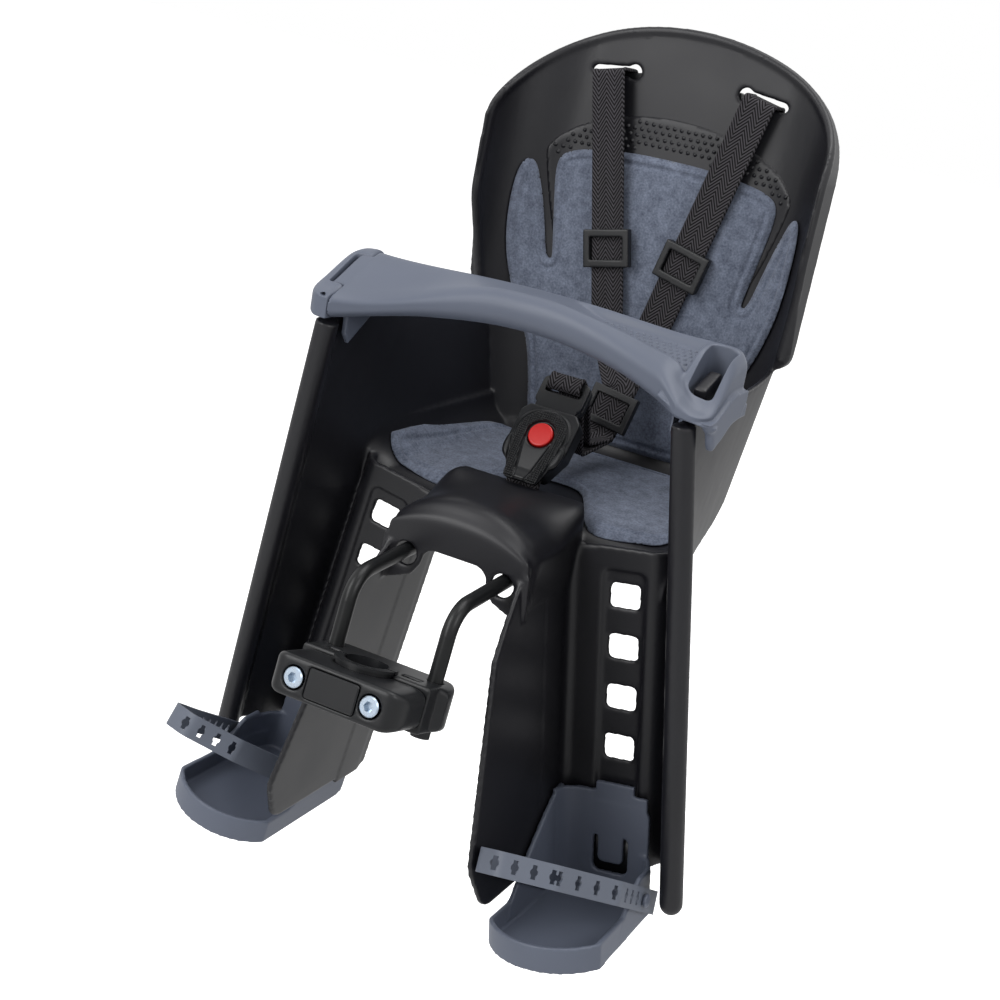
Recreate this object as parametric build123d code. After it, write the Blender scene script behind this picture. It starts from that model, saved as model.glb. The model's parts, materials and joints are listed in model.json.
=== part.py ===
from build123d import *
import math
import os

os.makedirs("parts", exist_ok=True)

# Driving dimensions: millimetres and degrees, origin in the middle of the clamp bore, +Z up, +Y to the rear
STEM_DIAMETER = 28.6
STEM_LEAN = 14.0
WALL = 4.0
FIT = 0.3

BACK_HALF_WIDTH = 130.0
BACK_TOP_Z = 405.0
WING_BOTTOM_Z = 190.0
WING_REACH = 58.0
WING_TAPER = 8.0
BACK_CORNER = 58.0
BACK_Y = 337.0
BACK_BASE_Z = 76.0
RECLINE = 4.0
RIM_WIDTH = 7.0
RIM_DEPTH = 11.0

SEAT_FRONT_Z = 76.0
SEAT_REAR_Z = 88.0
THIGH_RADIUS = 20.0
PAD_THICKNESS = 6.0

LEG_SPLAY = 9.4
LEG_X = 50.5
LEG_Z = 50.0
LEG_WALL_Y = 176.5
LEG_WALL = 5.0
LEG_BOTTOM = -200.0
WINDOW_PITCH = 36.0
WINDOW_COUNT = 6
WINDOW_SIZE = (20.7, 16.5)
WINDOW_X = 43.0
WINDOW_DROP = 3.5

POST_TOP = (130.3, 118.2, 187.0)
POST_BOTTOM = (182.0, 144.0, -140.0)
POST_RADIUS = 8.0
SIDE_TOP_Z = 189.7

TUNNEL_HALF = 53.0
TUNNEL_TOP_Z = 97.0
TUNNEL_FRONT_Y = 102.0
TUNNEL_REAR_Y = 236.0

TUBE_RADIUS = 5.0
TUBE_X = 36.5
TUBE_Y = 26.0
TUBE_Z = 53.0
TUBE_END = -17.0

CLAMP_HALF_WIDTH = 51.0
CLAMP_HEIGHT = 30.0
JAW_HALF_WIDTH = 46.0
JAW_HEIGHT = 26.0
JAW_FRONT_Y = -36.0
CLAMP_REAR_Y = 43.0
CLAMP_GAP = 1.5
BUSH_WALL = 4.7
SCREW_X = 27.0

BAR_TOP_Z = 231.5
BAR_END_Z = 190.0
BAR_END_X = 147.0
BAR_SEAM_X = 126.0
END_CORNER = 18.0
HINGE_X = -132.0
HINGE_Z = 226.5
KNUCKLE_RADIUS = 4.8
PIN_RADIUS = 2.0
KNUCKLE_Y = (127.0, 159.0)

STRAP_WIDTH = 25.0
STRAP_THICKNESS = 1.6
SLOT_X = 59.0
SLOT_Z = 368.0
STRAP_LOW_Z = 128.0

STRAP_TILT = 13.0
STRAP_STAND_OFF = 3.0
STRAP_TAIL = 14.0

BUCKLE_BASE = (0.0, 187.0, 104.0)
BUCKLE_LEAN = 39.0


def strip(points, radius, near, far):
    """Return the flat face between two offsets of a polyline with rounded corners (left is positive)."""
    pts = [Vector(*p) for p in points]
    rails = []
    for shift in (near, far):
        start = pts[0]
        rail, cursor = [], None
        for i, p in enumerate(pts):
            u = (p - pts[i - 1]).normalized() if i else (pts[1] - p).normalized()
            left = Vector(-u.Y, u.X)
            if i == 0:
                cursor = p + left * shift
                continue
            if i == len(pts) - 1:
                rail.append(Line(cursor, p + left * shift))
                continue
            v = (pts[i + 1] - p).normalized()
            turn = math.atan2(u.X * v.Y - u.Y * v.X, u.X * v.X + u.Y * v.Y)
            side = math.copysign(1.0, turn)
            run = radius * math.tan(abs(turn) / 2)
            first, last = p - u * run, p + v * run
            centre = first + left * (side * radius)
            middle = centre + (p - centre).normalized() * (radius - side * shift)
            arc_start = first + left * shift
            arc_end = last + Vector(-v.Y, v.X) * shift
            if (arc_start - cursor).length > 1e-4:
                rail.append(Line(cursor, arc_start))
            rail.append(ThreePointArc(arc_start, middle, arc_end))
            cursor = arc_end
        rails.append(rail)
    inner, outer = rails
    caps = [Line(inner[0] @ 0, outer[0] @ 0), Line(inner[-1] @ 1, outer[-1] @ 1)]
    return make_face(inner + outer + caps)


def ribbon(points, width):
    """Return a flat face of even width along a smooth curve through the points."""
    pts = [Vector(*p) for p in points]
    rails = []
    for shift in (width / 2, -width / 2):
        rail = []
        for i, p in enumerate(pts):
            u = (pts[min(i + 1, len(pts) - 1)] - pts[max(i - 1, 0)]).normalized()
            rail.append(p + Vector(-u.Y, u.X) * shift)
        rails.append(rail)
    near, far = rails
    return make_face([Spline(near), Spline(far), Line(near[0], far[0]), Line(near[-1], far[-1])])


def rod(start, end, radius):
    """Return a round bar between two points."""
    axis = Vector(*end) - Vector(*start)
    return extrude(Plane(origin=start, z_dir=axis) * Circle(radius), amount=axis.length)


def both_sides(piece):
    """Return a piece together with its mirror image."""
    return piece + mirror(piece, about=Plane.YZ)


def leg(piece):
    """Place a piece drawn upright in the right leg channel."""
    return Pos(LEG_X, 0, LEG_Z) * Rot(0, -LEG_SPLAY, 0) * piece


def at_low_step(piece):
    """Place a footrest piece in the right leg channel at its lowest step."""
    return leg(Pos(0, 0, -WINDOW_DROP) * piece)


def on_stem(piece):
    """Lean a piece drawn upright on the stem back to the angle of the stem."""
    return Rot(-STEM_LEAN, 0, 0) * piece


def front_prism(face):
    """Return a long prism along Y over an outline drawn in X and Z."""
    return extrude(Plane.XZ * face, amount=600, both=True)


def plan_prism(face, low, high):
    """Return a prism along Z over an outline drawn in X and Y."""
    return Pos(0, 0, low) * extrude(face, amount=high - low)


BACK_PATH = [
    (-BACK_HALF_WIDTH, BACK_Y - WING_REACH),
    (-BACK_HALF_WIDTH + WING_TAPER, BACK_Y),
    (BACK_HALF_WIDTH - WING_TAPER, BACK_Y),
    (BACK_HALF_WIDTH, BACK_Y - WING_REACH),
]
SEAT_PATH = [
    (LEG_WALL_Y + 2, 50.0),
    (LEG_WALL_Y + 2, SEAT_FRONT_Z - 2),
    (BACK_Y + 1.4, SEAT_REAR_Z - 2),
    (BACK_Y + 5.8, 150.0),
]


def back_layer(near, far):
    """Return a layer of the reclined back between two offsets from the middle of its wall."""
    lean = Vector(0, math.sin(math.radians(RECLINE)), math.cos(math.radians(RECLINE)))
    face = Pos(0, 0, BACK_BASE_Z) * strip(BACK_PATH, BACK_CORNER, near, far)
    return extrude(face, amount=350.0, dir=lean)


def back_outline(inset):
    """Return the arched front outline of the winged back."""
    half, top = BACK_HALF_WIDTH - inset, BACK_TOP_Z - inset
    bottom, spring = WING_BOTTOM_Z + inset, BACK_TOP_Z - 80.0
    box = Pos(0, (bottom + spring) / 2) * Rectangle(2 * half, spring - bottom)
    corners = [v for v in box.vertices() if v.Y < spring - 1]
    return fillet(corners, 14.0) + Pos(0, spring) * Ellipse(half, top - spring)


def seat_plan(inset, front):
    """Return the plan outline of the seat pan inside the side walls."""
    return Polygon(
        (-124 + inset, front), (124 - inset, front), (97 - inset, BACK_Y + 1), (-97 + inset, BACK_Y + 1),
        align=None,
    )


def back_wall():
    """Return the winged back with its turned rim and the lower back of the bucket."""
    lower = Polygon(
        (-119, WING_BOTTOM_Z + 6), (-97, BACK_BASE_Z + 8), (-84, BACK_BASE_Z), (84, BACK_BASE_Z),
        (97, BACK_BASE_Z + 8), (119, WING_BOTTOM_Z + 6), align=None,
    )
    sheet = back_layer(-WALL / 2, WALL / 2) & front_prism(back_outline(0) + lower)
    rim_ring = front_prism(back_outline(0)) - front_prism(back_outline(RIM_WIDTH))
    above = Pos(0, 300, WING_BOTTOM_Z + 320) * Box(400, 400, 640)
    rim = back_layer(-WALL / 2 + 0.6, RIM_DEPTH) & rim_ring & above
    rim -= Pos(0, BACK_Y, WING_BOTTOM_Z) * Box(204, 200, 40)
    low = WING_BOTTOM_Z
    before = Polygon(
        (200, low), (BACK_Y - 20, low), (BACK_Y - 28, low + 45), (BACK_Y - 37, low + 75),
        (BACK_Y - 44.5, low + 105), (BACK_Y - 45.5, low + 117), (BACK_Y - 44, low + 127), (BACK_Y - 40, low + 136),
        (BACK_Y - 34, low + 145), (BACK_Y - 26, low + 154), (BACK_Y - 14, low + 165), (BACK_Y - 14, low + 240),
        (200, low + 240), align=None,
    )
    return sheet + rim - extrude(Plane.YZ * before, amount=200, both=True)


def tunnel(inset):
    """Return the raised tunnel over the stem as a solid, drawn in by an inset."""
    top = TUNNEL_TOP_Z - inset
    profile = Polygon(
        (TUNNEL_FRONT_Y + inset, 40 - 4 * inset), (TUNNEL_FRONT_Y + 6 + inset, top), (190, top - 2),
        (TUNNEL_REAR_Y - 2 * inset, SEAT_FRONT_Z + 2 - inset), (TUNNEL_REAR_Y - 2 * inset, 40 - 4 * inset),
        align=None,
    )
    solid = extrude(Plane.YZ * profile, amount=TUNNEL_HALF + 2 - inset, both=True)
    half, tail = TUNNEL_HALF + 2 - inset, 20.0 - inset
    plan = Polygon(
        (-half, 90), (half, 90), (half, 178), (tail, TUNNEL_REAR_Y + 1), (-tail, TUNNEL_REAR_Y + 1),
        (-half, 178), align=None,
    )
    solid &= plan_prism(plan, -10, 120)
    ridge = solid.edges().filter_by(Axis.X).sort_by(Axis.Z)[-2:]
    front = sorted(ridge, key=lambda e: e.center().Y)[0]
    solid = fillet(front, 14.0 - inset)
    sides = [e for e in solid.edges() if e.center().Z > 80 and abs(e.center().X) > TUNNEL_HALF - inset
             and e.length > 20]
    return fillet(sides, 11.0 - inset)


def tunnel_front():
    """Return the arched web across the front of the tunnel."""
    outer = Polygon(
        (-TUNNEL_HALF, 86), (TUNNEL_HALF, 86), (TUNNEL_HALF + 4, 34), (TUNNEL_HALF - 4, 32), (28, 40),
        (-28, 40), (-TUNNEL_HALF + 4, 32), (-TUNNEL_HALF - 4, 34), align=None,
    )
    return Pos(0, TUNNEL_FRONT_Y + 2.6, 0) * extrude(Plane.XZ * outer, amount=2.0, both=True)


def tunnel_mouth():
    """Return the cutters of the tunnel front: the arch and the two tube holes."""
    arch = Polygon((-23, 60), (23, 60), (25, 48), (44, 20), (-44, 20), (-25, 48), align=None)
    mouth = fillet([v for v in arch.vertices() if v.Y > 59], 9.0)
    for side in (-1, 1):
        mouth += Pos(side * TUBE_X, TUBE_Z) * Circle(8.0)
    return Pos(0, TUNNEL_FRONT_Y, 0) * extrude(Plane.XZ * mouth, amount=14.0, both=True)


def leg_channel():
    """Return the right leg channel: inner wall, windowed rear wall and rounded outer valley."""
    mid = LEG_WALL_Y
    inner = Polygon(
        (mid + 2, 36), (mid + 2, LEG_BOTTOM), (58, LEG_BOTTOM), (39, LEG_BOTTOM + 34), (67, -34), (82, -14),
        (104, 12), (108, 38), align=None,
    )
    toe = [v for v in inner.vertices() if v.X < 66 and v.Y < -150]
    inner_wall = extrude(Plane.YZ * fillet(toe, 18.0), amount=WALL / 2, both=True)
    rear = strip([(0, 140), (0, mid), (66, mid), (75, mid + 15)], 9.0, -LEG_WALL / 2, LEG_WALL / 2)
    rear_wall = plan_prism(rear, LEG_BOTTOM - WINDOW_DROP, 22.0)
    recess_face = Pos(WINDOW_X, -95 - WINDOW_DROP) * RectangleRounded(32, 210, 6)
    recess = Pos(0, mid - LEG_WALL / 2 + 1.8, 0) * extrude(Plane.XZ * recess_face, amount=10)
    return leg(inner_wall + rear_wall - recess)


def step_windows():
    """Return the cutters of the row of step windows in the right leg channel."""
    width, height = WINDOW_SIZE
    first = -WINDOW_DROP - height / 2
    row = Pos(WINDOW_X, first) * RectangleRounded(width, height, 2.0)
    for step in range(1, WINDOW_COUNT):
        row += Pos(WINDOW_X, first - step * WINDOW_PITCH) * RectangleRounded(width, height, 2.0)
    return leg(Pos(0, LEG_WALL_Y + 10, 0) * extrude(Plane.XZ * row, amount=20))


def guard():
    """Return the right side guard below the seat, from the valley out to the round post."""
    top = plan_prism(ribbon([(123.5, 194), (134, 160), (147.0, 127.5)], WALL), 60.0, 60.1).faces()
    low = plan_prism(ribbon([(158.5, 194), (168, 168), (181.0, 146.0)], WALL), -136.0, -135.9).faces()
    wall = loft([top.sort_by(Axis.Z)[-1], low.sort_by(Axis.Z)[0]])
    post = rod(POST_TOP, POST_BOTTOM, POST_RADIUS)
    return wall + post + Pos(*POST_BOTTOM) * Sphere(POST_RADIUS)


def side_wall():
    """Return the right wall of the bucket from the post back to the wing."""
    low = Pos(0, 0, 58.0) * ribbon([(147.5, 127), (126, 186), (111, 250), (95, 333)], WALL)
    high = Pos(0, 0, SIDE_TOP_Z) * ribbon([(130, 118), (129.5, 180), (127, 250), (117, 321)], WALL)
    below = Polygon((200, 40), (360, 40), (360, 90), (BACK_Y, 83), (300, 73), (200, 66), align=None)
    return loft([low, high]) - extrude(Plane.YZ * below, amount=200, both=True)


def back_plane():
    """Return the plane of the flat middle of the back: X across, Y up the back, Z out of the front."""
    lean = math.radians(RECLINE)
    y = BACK_Y + (SLOT_Z - BACK_BASE_Z) * math.tan(lean)
    return Plane(
        origin=(0, y - WALL / 2, SLOT_Z), x_dir=(1, 0, 0), z_dir=(0, -math.cos(lean), math.sin(lean))
    )


def seat_shell():
    """Return the one-piece moulded seat shell."""
    pan = extrude(Plane.YZ * strip(SEAT_PATH, THIGH_RADIUS, -WALL / 2, WALL / 2), amount=140, both=True)
    pan &= plan_prism(seat_plan(0, 160), 20, 170)
    hollow = tunnel(WALL) + Pos(0, 165, 45) * Box(2 * TUNNEL_HALF - 2, 40, 60)
    shell = back_wall() + (pan - hollow)
    shell += tunnel(0) - tunnel(WALL) - Pos(0, 200, 40) * Box(2 * TUNNEL_HALF - 4, 190, 40)
    shell += tunnel_front()
    shell -= tunnel_mouth()
    for piece in (leg_channel(), guard(), side_wall()):
        shell += both_sides(piece)
    shell -= both_sides(step_windows())
    for side in (-1, 1):
        slot = SlotOverall(36, 7.0) + Pos(-side * 15, 0) * Circle(5.5)
        slot = Pos(side * SLOT_X, 0) * Rot(0, 0, -side * STRAP_TILT / 2) * slot
        shell -= back_plane() * extrude(slot, amount=20, both=True)
    shell -= Pos(0, BUCKLE_BASE[1] + 4, 95) * Box(28, 6, 30)
    return shell


def back_pad():
    """Return the foam pad on the back, its side lobes split off by two slits."""
    half = [(70, 112), (79, 190), (80, 226), (91, 284), (82, 298)]
    outline = fillet(Polygon(*half, *[(-x, z) for x, z in reversed(half)], align=None).vertices(), 10.0)
    for side in (-1, 1):
        lobe = Polygon(
            (70, 168), (106, 206), (108, 272), (101, 297), (95, 297), (84, 236), (70, 214), align=None
        )
        lobe = fillet([v for v in lobe.vertices() if v.X > 90], 2.5)
        outline += lobe if side > 0 else mirror(lobe, about=Plane.YZ)
    start = WALL / 2 + FIT
    return back_layer(-start - PAD_THICKNESS, -start) & front_prism(outline)


def seat_pad():
    """Return the foam pad on the seat pan, notched in front for the tunnel."""
    half = [(18, 250), (50, 191), (66, 189), (110, 212), (105, 250), (88, 320)]
    outline = Polygon(*half, *[(-x, y) for x, y in reversed(half)], align=None)
    outline = fillet(outline.vertices(), 7.0)
    start = WALL / 2 + FIT
    layer = strip(SEAT_PATH, THIGH_RADIUS, start, start + PAD_THICKNESS)
    return extrude(Plane.YZ * layer, amount=140, both=True) & plan_prism(outline, 60, 130)


def support_bar():
    """Return the bent steel bar that carries the seat on the clamp."""
    x, z, rear, radius = TUBE_X, TUBE_Z, 165.0, 22.0
    lean = math.radians(STEM_LEAN)
    foot = (
        TUBE_Y * math.cos(lean) + TUBE_END * math.sin(lean),
        TUBE_END * math.cos(lean) - TUBE_Y * math.sin(lean),
    )
    bend = (foot[0] + (z - foot[1]) * math.tan(lean), z)
    edges, points = [], [(x, *foot), (x, *bend), (x, rear, z + 4), (-x, rear, z + 4), (-x, *bend), (-x, *foot)]
    pts = [Vector(*p) for p in points]
    cursor = pts[0]
    for before, corner, after in zip(pts, pts[1:], pts[2:]):
        u, v = (corner - before).normalized(), (after - corner).normalized()
        run = radius * math.tan(math.acos(u.dot(v)) / 2)
        first, last = corner - u * run, corner + v * run
        centre = first + (v - u * u.dot(v)).normalized() * radius
        middle = centre + (corner - centre).normalized() * radius
        edges += [Line(cursor, first), ThreePointArc(first, middle, last)]
        cursor = last
    edges.append(Line(cursor, pts[-1]))
    return sweep(on_stem(Pos(x, TUBE_Y, TUBE_END) * Circle(TUBE_RADIUS)), path=Wire(edges))


def bar_saddle():
    """Return the block that holds the support bar under the tunnel."""
    block = Pos(0, 165, 72.5) * Box(26, 24, 37)
    groove = Pos(0, 165, TUBE_Z + 4) * Rot(0, 90, 0) * Cylinder(TUBE_RADIUS + FIT, 60)
    mouth = Pos(0, 165, TUBE_Z - 4) * Box(60, 2 * TUBE_RADIUS - 1, 14)
    return block - groove - mouth


def tube_end_plugs():
    """Return the two plugs on the lower ends of the support bar."""
    cup = Pos(0, 0, TUBE_END - 1.2) * (Cylinder(6.2, 5.8) - Pos(0, 0, 3) * Cylinder(TUBE_RADIUS + 0.2, 4))
    return on_stem(Pos(TUBE_X, TUBE_Y, 0) * cup + Pos(-TUBE_X, TUBE_Y, 0) * cup)


def along_y(face, start, end):
    """Return a prism along Y between two positions over an outline drawn in X and Z."""
    middle = (start + end) / 2
    return Pos(0, middle, 0) * extrude(Plane.XZ * face, amount=(end - start) / 2, both=True)


BUSH_RADIUS = STEM_DIAMETER / 2 + BUSH_WALL
SCREW_SEAT_Y = JAW_FRONT_Y + 7.0


def clamp_rear_housing():
    """Return the rear half of the clamp with the two tube sockets and nut slots."""
    plan = Pos(0, TUBE_Y) * SlotOverall(2 * CLAMP_HALF_WIDTH, 2 * (CLAMP_REAR_Y - TUBE_Y))
    plan += Pos(0, (TUBE_Y + CLAMP_GAP / 2) / 2) * Rectangle(2 * JAW_HALF_WIDTH, TUBE_Y - CLAMP_GAP / 2)
    body = Pos(0, 0, -CLAMP_HEIGHT / 2) * extrude(plan, amount=CLAMP_HEIGHT)
    rims = [e for e in body.edges().filter_by(GeomType.CIRCLE) if abs(e.center().X) > 30]
    body = fillet(rims, 3.0) - Cylinder(BUSH_RADIUS + 0.2, 60)
    for side in (-1, 1):
        body -= Pos(side * TUBE_X, TUBE_Y, 0) * Cylinder(TUBE_RADIUS + 0.2, 60)
        body -= along_y(Pos(side * SCREW_X, 0) * Circle(4.3), 0, 18.5)
        body -= Pos(side * SCREW_X, 11.5, 4.0) * Box(13.4, 7.0, 24)
    return body


def clamp_front_jaw():
    """Return the front half of the clamp with counterbored screw holes and a shallow cover recess."""
    depth = -CLAMP_GAP / 2 - JAW_FRONT_Y
    plan = Pos(0, JAW_FRONT_Y + depth / 2) * Rectangle(2 * JAW_HALF_WIDTH, depth)
    plan = fillet([v for v in plan.vertices() if v.Y < JAW_FRONT_Y + 1], 9.0)
    body = Pos(0, 0, -JAW_HEIGHT / 2) * extrude(plan, amount=JAW_HEIGHT)
    front = [
        e for e in body.edges()
        if e.center().Y < JAW_FRONT_Y + 6 and abs(e.center().Z) > JAW_HEIGHT / 2 - 1
    ]
    body = fillet(front, 3.0) - Cylinder(BUSH_RADIUS + 0.2, 60)
    for side in (-1, 1):
        body -= along_y(Pos(side * SCREW_X, 0) * Circle(4.3), JAW_FRONT_Y - 1, 1)
        body -= along_y(Pos(side * SCREW_X, 0) * Circle(7.6), JAW_FRONT_Y - 1, SCREW_SEAT_Y)
    return body - along_y(RectangleRounded(36, 19.6, 2), JAW_FRONT_Y - 1, JAW_FRONT_Y + 3)


def clamp_cover_plate():
    """Return the plain cover plate in the front jaw."""
    plate = along_y(RectangleRounded(35.2, 18.8, 1.8), JAW_FRONT_Y - 0.6, JAW_FRONT_Y + 2.7)
    return chamfer(plate.faces().sort_by(Axis.Y)[0].edges(), 0.8)


def bush_half(front):
    """Return one half of the adapter bush inside the clamp."""
    ring = Pos(0, 0, 1.15) * Cylinder(BUSH_RADIUS, CLAMP_HEIGHT + 2.3)
    ring += Pos(0, 0, CLAMP_HEIGHT / 2 + 1.3) * Cylinder(BUSH_RADIUS + 1.6, 2)
    ring -= Cylinder(STEM_DIAMETER / 2, 60)
    sign = -1 if front else 1
    return ring & Pos(0, sign * (50 + CLAMP_GAP / 2), 0) * Box(100, 100, 100)


def clamp_screws():
    """Return the two hex-socket clamp screws."""
    group = []
    for side in (-1, 1):
        centre = Pos(side * SCREW_X, 0)
        head = along_y(centre * Circle(6.5), SCREW_SEAT_Y - 8, SCREW_SEAT_Y)
        head = chamfer(head.faces().sort_by(Axis.Y)[0].edges(), 0.7)
        shank = along_y(centre * Circle(3.9), SCREW_SEAT_Y - 0.5, 17.5)
        socket = along_y(centre * RegularPolygon(3.4, 6), SCREW_SEAT_Y - 9, SCREW_SEAT_Y - 4)
        group.append(on_stem(head + shank - socket))
    return Compound(children=group)


def clamp_nuts():
    """Return the two nuts in the rear housing."""
    hexagon = Rot(0, 0, 30) * RegularPolygon(7.3, 6) - Circle(4.1)
    nuts = [along_y(Pos(side * SCREW_X, 0) * hexagon, 8.5, 14.7) for side in (-1, 1)]
    return Compound(children=[on_stem(nut) for nut in nuts])


def skirt(x_near, x_far):
    """Return a pointed skirt that hangs beside a side wall."""
    profile = Polygon((129, 194), (129, 178), (135, 171), (171, 194), align=None)
    middle = (x_near + x_far) / 2
    return Pos(middle, 0, 0) * extrude(Plane.YZ * profile, amount=(x_far - x_near) / 2, both=True)


def hinge_hole():
    """Return the bore for the hinge pin."""
    return along_y(Pos(HINGE_X, HINGE_Z) * Circle(PIN_RADIUS + FIT), 100, 190)


def hinge_cap():
    """Return the fixed cap on the left side wall that carries the hinge."""
    seam = -BAR_SEAM_X - 0.6
    width, height = BAR_END_X + seam, BAR_TOP_Z - BAR_END_Z
    body = Pos(-(BAR_END_X - seam) / 2, 143, BAR_END_Z + height / 2) * Box(width, 70, height)
    outer = body.faces().sort_by(Axis.X)[0].edges()
    body = fillet(outer.filter_by(Axis.Z), END_CORNER)
    crown = [e for e in body.edges() if e.center().Z > BAR_TOP_Z - 1 and e.center().X < seam - 1]
    body = fillet(crown, 8.0) + skirt(-141, -135.6)
    low, high = KNUCKLE_Y
    notch = Pos(HINGE_X + 7, (low + high) / 2, HINGE_Z + 10) * Box(28, high - low + 0.8, 34)
    corner = Pos(HINGE_X + 10, HINGE_Z + 10) * Rectangle(20, 20)
    sweep_room = corner - Pos(HINGE_X, HINGE_Z) * Circle(seam - HINGE_X)
    return body - notch - along_y(sweep_room, 100, 190) - hinge_hole()


def hinge_pin():
    """Return the pin of the bar hinge."""
    return along_y(Pos(HINGE_X, HINGE_Z) * Circle(PIN_RADIUS), 113, 173)


def bar_section(x, y, width, height, radius):
    """Return a rounded cross-section of the bar, hung from its level top."""
    return Plane(origin=(x, y, BAR_TOP_Z - height / 2), x_dir=(0, 1, 0), z_dir=(1, 0, 0)) * RectangleRounded(
        width, height, radius
    )


def safety_bar():
    """Return the swinging bar with its hinge knuckle and its latch end."""
    end_height = BAR_TOP_Z - BAR_END_Z
    end = (143.0, 70.0, end_height, 14.0)
    half = [(75, (158.0, 50.0, 31.0, 13.0)), (BAR_SEAM_X, end)]
    stations = [(-x, s) for x, s in reversed(half)] + [(0, (169.0, 43.0, 25.0, 11.5))] + half
    bar = loft([bar_section(x, *s) for x, s in stations])
    tip = extrude(bar.faces().sort_by(Axis.X)[-1], amount=BAR_END_X - BAR_SEAM_X)
    tip = fillet(tip.faces().sort_by(Axis.X)[-1].edges(), 12.5)
    bar += tip + skirt(121.5, 125.2) + skirt(135.8, 141.0) + skirt(-125.2, -121.5)
    bar += Pos(143, 175, 190) * Box(7, 22, 9)
    bar -= Pos(137, 144, 211) * extrude(RectangleRounded(10, 38, 4), amount=60, both=True)
    low, high = KNUCKLE_Y
    knuckle = Pos(HINGE_X, HINGE_Z) * Circle(KNUCKLE_RADIUS)
    knuckle += Pos(HINGE_X + 7, HINGE_Z) * Rectangle(14, 2 * KNUCKLE_RADIUS)
    return bar + along_y(knuckle, low, high) - hinge_hole()


FOOT_BOTTOM = -222.0
FOOT_RIM = -204.0
HEEL_TOP = -154.0


def foot_plan(inset):
    """Return the plan outline of a footrest with its rounded toe."""
    left, right = 2.8 + inset, 82.0 - inset
    toe = ThreePointArc((left, 64), (43, 42 + inset), (right, 66))
    rear = Polyline(
        (right, 66), (right - 2, 146), (70, 171 - inset), (left + 6, 171 - inset), (left, 161), (left, 64)
    )
    return make_face([toe] + rear.edges())


def footrest():
    """Return the right footrest scoop, drawn in the leg channel."""
    tray = plan_prism(foot_plan(0), FOOT_BOTTOM, FOOT_RIM) - plan_prism(foot_plan(3.5), FOOT_BOTTOM + 4, 0)
    heel_face = Pos(40, (HEEL_TOP + FOOT_BOTTOM) / 2) * RectangleRounded(62, HEEL_TOP - FOOT_BOTTOM, 8)
    heel = along_y(heel_face, 167.5, 171.5)
    inner = Polygon(
        (166, FOOT_BOTTOM + 2), (166, HEEL_TOP - 2), (150, -166), (92, FOOT_RIM - 1), (80, FOOT_BOTTOM + 2),
        align=None,
    )
    outer = Polygon(
        (150, FOOT_BOTTOM + 2), (150, -186), (132, -186), (104, FOOT_RIM - 1), (94, FOOT_BOTTOM + 2),
        align=None,
    )
    inner_wall = Pos(4.6, 0, 0) * extrude(Plane.YZ * inner, amount=1.75, both=True)
    outer_wall = Pos(79.5, 0, 0) * extrude(Plane.YZ * outer, amount=1.75, both=True)
    catch = RectangleRounded(26, 28, 5) - Pos(0, 5) * RectangleRounded(19, 24, 4)
    latch = along_y(Pos(WINDOW_X, -192) * catch, 166, 173)
    stud = Pos(83.5, 127.7, -199.1) * Rot(0, 90, 0) * (Cylinder(3.0, 9) + Pos(0, 0, 4) * Cylinder(5.0, 2.5))
    return tray + heel + inner_wall + outer_wall + stud - latch


# Foot straps in plan of their own leaning plane: path of the band and rows of keyholes (start, end, count)
RIGHT_FOOT_BAND = [(9.2, 28), (9.2, -58), (5, -88), (25, -97), (57, -77), (84.2, -34), (84.2, 36)]
RIGHT_KEYHOLES = [((22, -97), (54, -77), 4), ((58, -76), (82, -38), 4), ((84, -24), (84, -2), 3)]
LEFT_FOOT_BAND = [(9.2, 28), (9.2, -34), (36, -77), (68, -97), (88, -88), (84.2, -58), (84.2, 36)]
LEFT_KEYHOLES = [((39, -79), (70, -97), 4), ((84.6, -46), (84, -2), 5)]


def foot_strap(path, rows):
    """Return a rubber foot strap with its rows of keyholes, drawn in the leg channel."""
    band = plan_prism(strip(path, 9.0, -1.2, 1.2), -8, 8)
    key = Box(3.0, 12, 9) + Rot(90, 0, 0) * Cylinder(2.6, 12)
    for start, end, count in rows:
        turn = math.degrees(math.atan2(end[1] - start[1], end[0] - start[0]))
        for i in range(count):
            x, y = (p + (q - p) * i / (count - 1) for p, q in zip(start, end))
            band -= Pos(x, y, 0) * Rot(0, 0, turn) * key
    stud_hole = Pos(84.2, 11, 0) * Rot(0, 90, 0) * Cylinder(3.6, 8)
    return Pos(0, 118, -194) * Rot(-28, 0, 0) * (band - stud_hole)


def strap_run(side, lift, length):
    """Return the straight run of a shoulder strap with its tail through the slot of the back."""
    path = [(-20, -STRAP_TAIL), (0, -STRAP_TAIL), (0, lift), (-length, lift)]
    face = strip(path, 3.0, -STRAP_THICKNESS / 2, STRAP_THICKNESS / 2)
    band = extrude(Plane.YZ * face, amount=STRAP_WIDTH / 2, both=True)
    return back_plane() * Pos(side * SLOT_X, 0, 0) * Rot(0, 0, -side * STRAP_TILT) * band


def on_strap(side, piece):
    """Place a piece drawn about the slot onto the run of a shoulder strap."""
    return back_plane() * Pos(side * SLOT_X, 0, 0) * Rot(0, 0, -side * STRAP_TILT) * piece


LEFT_LIFT = FIT + PAD_THICKNESS + STRAP_STAND_OFF + 3.6
RIGHT_LIFT = FIT + PAD_THICKNESS + STRAP_STAND_OFF + 0.8


def buckle_plane():
    """Return the plane of the buckle front: X across, Y up the buckle, Z out of the front."""
    lean = math.radians(BUCKLE_LEAN)
    return Plane(origin=BUCKLE_BASE, x_dir=(1, 0, 0), z_dir=(0, -math.cos(lean), math.sin(lean)))


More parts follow.
